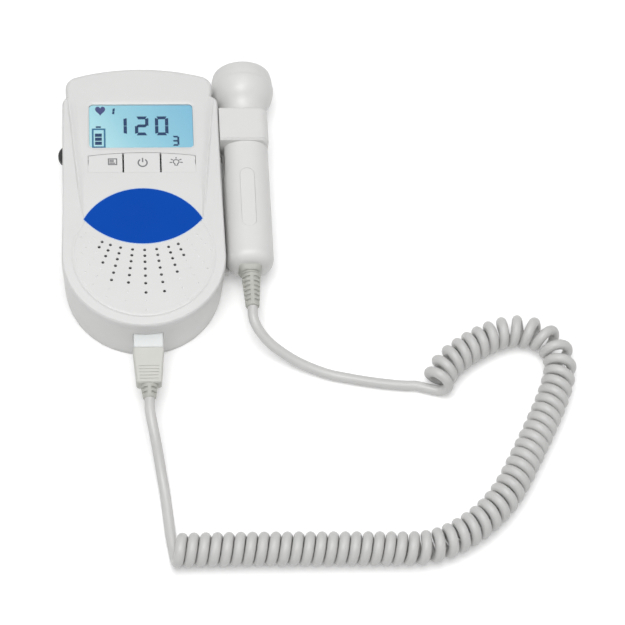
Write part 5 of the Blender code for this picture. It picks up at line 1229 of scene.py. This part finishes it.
def head_profile():
    """Head from the axis out over its face and crown to the belt, then down the bowl to the block."""
    points = [(radius, HEAD_FACE_Y - depth) for radius, depth in LENS_SEAT_PROFILE]
    for i in range(1, 9):
        angle = math.pi / 2 * i / 8
        points.append((CROWN_RADIUS + CROWN_WIDTH * math.sin(angle),
                       HEAD_FACE_Y - CROWN_DROP + CROWN_HEIGHT * math.cos(angle)))
    points += CROWN_SIDE
    points += [(p.x, p.y) for p in spline_points([(r, y, 0.0) for r, y in BELT_AND_BOWL], 0.0006)]
    return points + [(0.0, HEAD_FOOT_Y)]


def probe_parts():
    body = add_piece("probe_handle", handle_mesh(), PROBE_WHITE, "probe", 32.0)
    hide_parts("probe_body")
    piece = add_piece("probe_blank_plate", to_mesh(plate_bm(), "plate"), PROBE_WHITE, "probe", 35.0)
    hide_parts("probe_plate")
    head = on_probe(revolve(head_profile(), 128))
    piece = add_piece("probe_head_shell", to_mesh(head, "head"), PROBE_WHITE, "probe", 40.0)
    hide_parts("probe_head")
    lens = on_probe(revolve([(radius, HEAD_FACE_Y - depth) for radius, depth in LENS_PROFILE]))
    piece = add_piece("acoustic_window_disc", to_mesh(lens, "lens"), ACOUSTIC, "probe", 35.0)
    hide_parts("acoustic_lens")


probe_parts()


# Strain reliefs: slotted sleeves on the cord, and the grommet at the handle's end
SLOT_DEPTH = 0.0008
SLOT_SHAPE = ((0.0, 0.0), (0.08, 0.8), (0.2, 1.0), (0.42, 1.0), (0.5, 0.8), (0.54, 0.0))
SPINE_SECTION = ((0.6, -1), (1.0, -1), (1.0, 1), (0.6, 1))
SPINE_HALF, SPINE_SINK, SLEEVE_ROUND, SLEEVE_TIP_ROUND = 0.0008, 0.00006, 0.0003, 0.0004
GROMMET_TOP_Y, GROMMET_LOW_Y = -0.0310, -0.0352
GROMMET_HALF_X, GROMMET_HALF_Z, GROMMET_CORNER = 0.0054, 0.0060, 0.0030
GROMMET_TAPER = ((0.0, 0.0), (0.25, 0.0), (0.6, 0.0004), (0.92, 0.0010), (1.0, 0.0015))
COLLAR_PROFILE = ((0.0, 0.0005), (0.0043, 0.0005), (0.0043, -0.0003), (0.0040, -0.0007), (0.0, -0.0007))
PROBE_SLEEVE = (0.0159, 0.0043, 0.0031, 6)
PLUG_SLEEVE = (0.0063, 0.0038, 0.0028, 2)


def sleeve_bm(y_root, length, root, tip, slots):
    """Strain relief turned about Y, its rings parted by rounded slots."""
    profile = [(0.0, y_root), (root - SLEEVE_ROUND, y_root), (root, y_root - SLEEVE_ROUND)]
    pitch = length / (slots + 1)
    for i in range(slots):
        for at, depth_share in SLOT_SHAPE:
            distance = pitch * (i + 0.75 + at)
            radius = root + (tip - root) * distance / length
            profile.append((radius - SLOT_DEPTH * depth_share, y_root - distance))
    end = y_root - length
    return revolve(profile + [(tip, end + SLEEVE_TIP_ROUND), (tip - SLEEVE_ROUND, end), (0.0, end)], 48)


def spines(x, z, ends):
    """Four ridges along a sleeve that close its slots into short windows; ends are (y, radius)."""
    out = []
    for k in range(4):
        c, s = math.cos(math.tau * k / 4), math.sin(math.tau * k / 4)
        out.append(loft([[(x + c * radius * share - s * side * SPINE_HALF, y,
                           z + s * radius * share + c * side * SPINE_HALF)
                          for share, side in SPINE_SECTION] for y, radius in ends]))
    return out


def sleeve(name, node, body, x, z, y_root, length, root, tip, slots):
    base = moved(sleeve_bm(y_root, length, root, tip, slots), x, 0.0, z)
    ends = ((y_root - length + SLEEVE_ROUND, tip - SPINE_SINK), (y_root - SLEEVE_ROUND, root - SPINE_SINK))
    steps = [(JOIN, spine) for spine in spines(x, z, ends)]
    piece = add_piece(name, combined(base, steps), BOOT_GREY, body, 35.0)
    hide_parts(node)


def probe_strain_relief():
    rings = []
    for share, pull in GROMMET_TAPER:
        half_z = GROMMET_HALF_Z - pull
        section = rounded_rectangle(GROMMET_HALF_X - pull, -half_z, half_z, GROMMET_CORNER, 8)
        y = GROMMET_TOP_Y + (GROMMET_LOW_Y - GROMMET_TOP_Y) * share
        rings.append(upright_ring(section, y, PROBE_X - 0.0003, PROBE_Z))
    collar = revolve([(radius, GROMMET_LOW_Y + rise) for radius, rise in COLLAR_PROFILE], 64)
    steps = [(JOIN, moved(collar, PROBE_X - 0.0002, 0.0, PROBE_Z))]
    mesh = combined(loft(rings), steps, 0.0003, 2, 35.0)
    piece = add_piece("probe_grommet_body", mesh, BOOT_GREY, "probe", 35.0)
    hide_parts("probe_grommet")
    sleeve("probe_boot_sleeve", "probe_boot", "probe", PROBE_X, PROBE_Z, GROMMET_LOW_Y - 0.0008,
           *PROBE_SLEEVE)


probe_strain_relief()


# Plug: nose in the unit's opening, tapering overmould with fine ribs, slotted boot
PLUG_BASE_Y = LOWER_END_Y - 0.0062
PLUG_LENGTH = 0.0168
PLUG_REAR_Y = PLUG_BASE_Y - PLUG_LENGTH
NOSE_HALF_X, NOSE_HALF_Z, NOSE_CORNER, NOSE_END_Y = 0.0065, 0.0042, 0.0007, LOWER_END_Y + 0.0079
PLUG_HALF_X, PLUG_HALF_Z, PLUG_REAR_HALF_X, PLUG_REAR_HALF_Z = 0.0069, 0.0045, 0.0055, 0.0033
PLUG_CORNER = 0.0010
PLUG_TAPER = ((0.0, 0.0004), (0.03, 0.0), (0.5, 0.0), (0.97, 0.0), (1.0, 0.0005))
RIB_COUNT, RIB_START, RIB_PITCH, RIB_WIDTH, RIB_DEPTH = 5, 0.0014, 0.0015, 0.0006, 0.0003
RIB_HALF, RIB_HALF_STEP, RIB_CUTTER_HEIGHT = 0.0040, 0.0001, 0.0012


def plug_half_z(share):
    return PLUG_HALF_Z + (PLUG_REAR_HALF_Z - PLUG_HALF_Z) * share


def plug():
    nose = []
    for inset, y in ((0.0003, PLUG_BASE_Y + 0.0001), (0.0, PLUG_BASE_Y + 0.0004), (0.0, NOSE_END_Y)):
        half_z = NOSE_HALF_Z - inset
        section = rounded_rectangle(NOSE_HALF_X - inset, -half_z, half_z, NOSE_CORNER, 5)
        nose.append(upright_ring(section, y, PLUG_X, PLUG_Z))
    piece = add_piece("plug_nose_shell", to_mesh(loft(nose), "nose"), NOSE_WHITE, "plug", 35.0)
    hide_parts("plug_nose")
    rings = []
    for share, pull in PLUG_TAPER:
        half_x = PLUG_HALF_X + (PLUG_REAR_HALF_X - PLUG_HALF_X) * share - pull
        half_z = plug_half_z(share) - pull
        section = rounded_rectangle(half_x, -half_z, half_z, PLUG_CORNER)
        rings.append(upright_ring(section, PLUG_BASE_Y - PLUG_LENGTH * share, PLUG_X, PLUG_Z))
    steps = []
    for side in (1, -1):
        for index in range(RIB_COUNT):
            y = PLUG_REAR_Y + RIB_START + RIB_PITCH * index
            level = plug_half_z((PLUG_BASE_Y - y) / PLUG_LENGTH) - RIB_DEPTH
            low, high = sorted((PLUG_Z + side * level, PLUG_Z + side * (level + RIB_CUTTER_HEIGHT)))
            half = RIB_HALF + RIB_HALF_STEP * index
            steps.append((CUT, box_bm((PLUG_X - half, y, low), (PLUG_X + half, y + RIB_WIDTH, high))))
    overmould = combined(loft(rings), steps, 0.00010, 2, 40.0)
    piece = add_piece("plug_overmould", overmould, PLUG_GREY, "plug", 35.0)
    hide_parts("plug_body")
    sleeve("plug_boot_sleeve", "plug_boot", "plug", PLUG_X, PLUG_Z, PLUG_REAR_Y - 0.0002, *PLUG_SLEEVE)


plug()


# Solids that stay as they are, with their own finishes; the speaker's frame takes the black as painted
# shade, so that the grille holes look dark
for mat, names in (
        (CASE, "lcd_bezel"), (DIFFUSER, "lcd_backlight"), (DISPLAY, "lcd_panel"), (CLEAR, "lcd_lens"),
        (BOARD, "main_board probe_board"), (FERRITE, "speaker_magnet crystal_backing"),
        (CELL_SLEEVE, "battery_1 battery_2"), (CERAMIC, "crystal_transmit crystal_receive"),
        (INNER_BLACK, "processor_chip amplifier_chip volume_pot probe_socket speaker_frame speaker_cone "
                      "switch_mode switch_power switch_light "
                      "switch_plunger_mode switch_plunger_power switch_plunger_light"),
        (STEEL, "shell_screw_1 shell_screw_2 shell_screw_3 shell_screw_4 battery_spring_1 battery_spring_2 "
                "contact_plus_1 contact_plus_2 contact_minus_1 contact_minus_2")):
    for name in names.split():
        item = NODES[name]
        for index in range(len(item.material_slots)):
            item.material_slots[index].material = mat


# Floor, light and surroundings
FLOOR_HALF_SIZE, FLOOR_PLACE = 3.0, (0.07, -0.05, 0.0)
FLOOR_BASE, FLOOR_ROUGHNESS = (0.93, 0.93, 0.93), 0.85
BRIGHT_SPOT = (-0.18, -0.14, 0.0)
LIFT_FROM, LIFT_TO = (0.10, 0.15), (2.34, 1.0)
WORLD_LIGHT, WORLD_SEEN = 0.285, (0.8, 0.8, 0.8, 1.0)
UNIT_AIM, SIDE_AIM = (0.03, -0.03, 0.0), (0.05, -0.05, 0.0)


def seen_directly(owner):
    """Node whose value is one for camera, glossy and transmission rays, and zero for the rest."""
    rays = add_node(owner, "LightPath")
    pair = add_node(owner, "Math", "MAXIMUM")
    every = add_node(owner, "Math", "MAXIMUM")
    link(owner, rays, "Is Camera Ray", pair, 0)
    link(owner, rays, "Is Glossy Ray", pair, 1)
    link(owner, pair, "Value", every, 0)
    link(owner, rays, "Is Transmission Ray", every, 1)
    return every


def floor():
    """White floor that takes shadows; a faint glow, stronger further from the lamps, keeps it even."""
    bm = bmesh.new()
    bmesh.ops.create_grid(bm, x_segments=1, y_segments=1, size=FLOOR_HALF_SIZE)
    mesh = to_mesh(bm, "floor")
    piece = placed("floor", mesh)
    piece.location = FLOOR_PLACE
    mat = new_material("floor_white", FLOOR_BASE, FLOOR_ROUGHNESS)
    place = add_node(mat, "TexCoord")
    apart = add_node(mat, "VectorMath", "DISTANCE")
    apart.inputs[1].default_value = BRIGHT_SPOT
    lift = add_node(mat, "MapRange", From_Min=LIFT_FROM[0], To_Min=LIFT_FROM[1], From_Max=LIFT_TO[0],
                    To_Max=LIFT_TO[1])
    level = add_node(mat, "Math", "MULTIPLY")
    glow = add_node(mat, "Emission", Strength=1.0)
    both = add_node(mat, "AddShader")
    link(mat, place, "Object", apart, 0)
    link(mat, apart, "Value", lift, "Value")
    link(mat, seen_directly(mat), "Value", level, 0)
    link(mat, lift, "Result", level, 1)
    link(mat, level, "Value", glow, "Color")
    link(mat, shader_of(mat), "BSDF", both, 0)
    link(mat, glow, "Emission", both, 1)
    link(mat, both, "Shader", mat.node_tree.nodes["Material Output"], "Surface")
    mesh.materials.append(mat)


def world():
    surroundings = bpy.data.worlds.new("studio")
    bpy.context.scene.world = surroundings
    surroundings.use_nodes = True
    nodes = surroundings.node_tree.nodes
    light = set_inputs(nodes["Background"], Color=(1.0, 1.0, 1.0, 1.0), Strength=WORLD_LIGHT)
    backdrop = add_node(surroundings, "Background", Color=WORLD_SEEN, Strength=1.0)
    mix = add_node(surroundings, "MixShader")
    link(surroundings, seen_directly(surroundings), "Value", mix, 0)
    link(surroundings, light, "Background", mix, 1)
    link(surroundings, backdrop, "Background", mix, 2)
    link(surroundings, mix, "Shader", nodes["World Output"], "Surface")


def area(name, place, aim, size, energy):
    data = bpy.data.lights.new(name, "AREA")
    data.shape = "DISK"
    data.size = size
    data.energy = energy
    lamp = placed(name, data)
    lamp.location = place
    lamp.rotation_euler = (Vector(aim) - Vector(place)).to_track_quat("-Z", "Y").to_euler()


floor()
world()
area("key_light", (-0.14, -0.30, 1.15), UNIT_AIM, size=0.80, energy=8.0)
area("top_light", (0.08, 0.16, 1.15), UNIT_AIM, size=0.80, energy=3.3)
area("side_light", (0.75, -0.55, 0.55), SIDE_AIM, size=0.50, energy=0.5)
bpy.context.scene.view_settings.view_transform = "Standard"

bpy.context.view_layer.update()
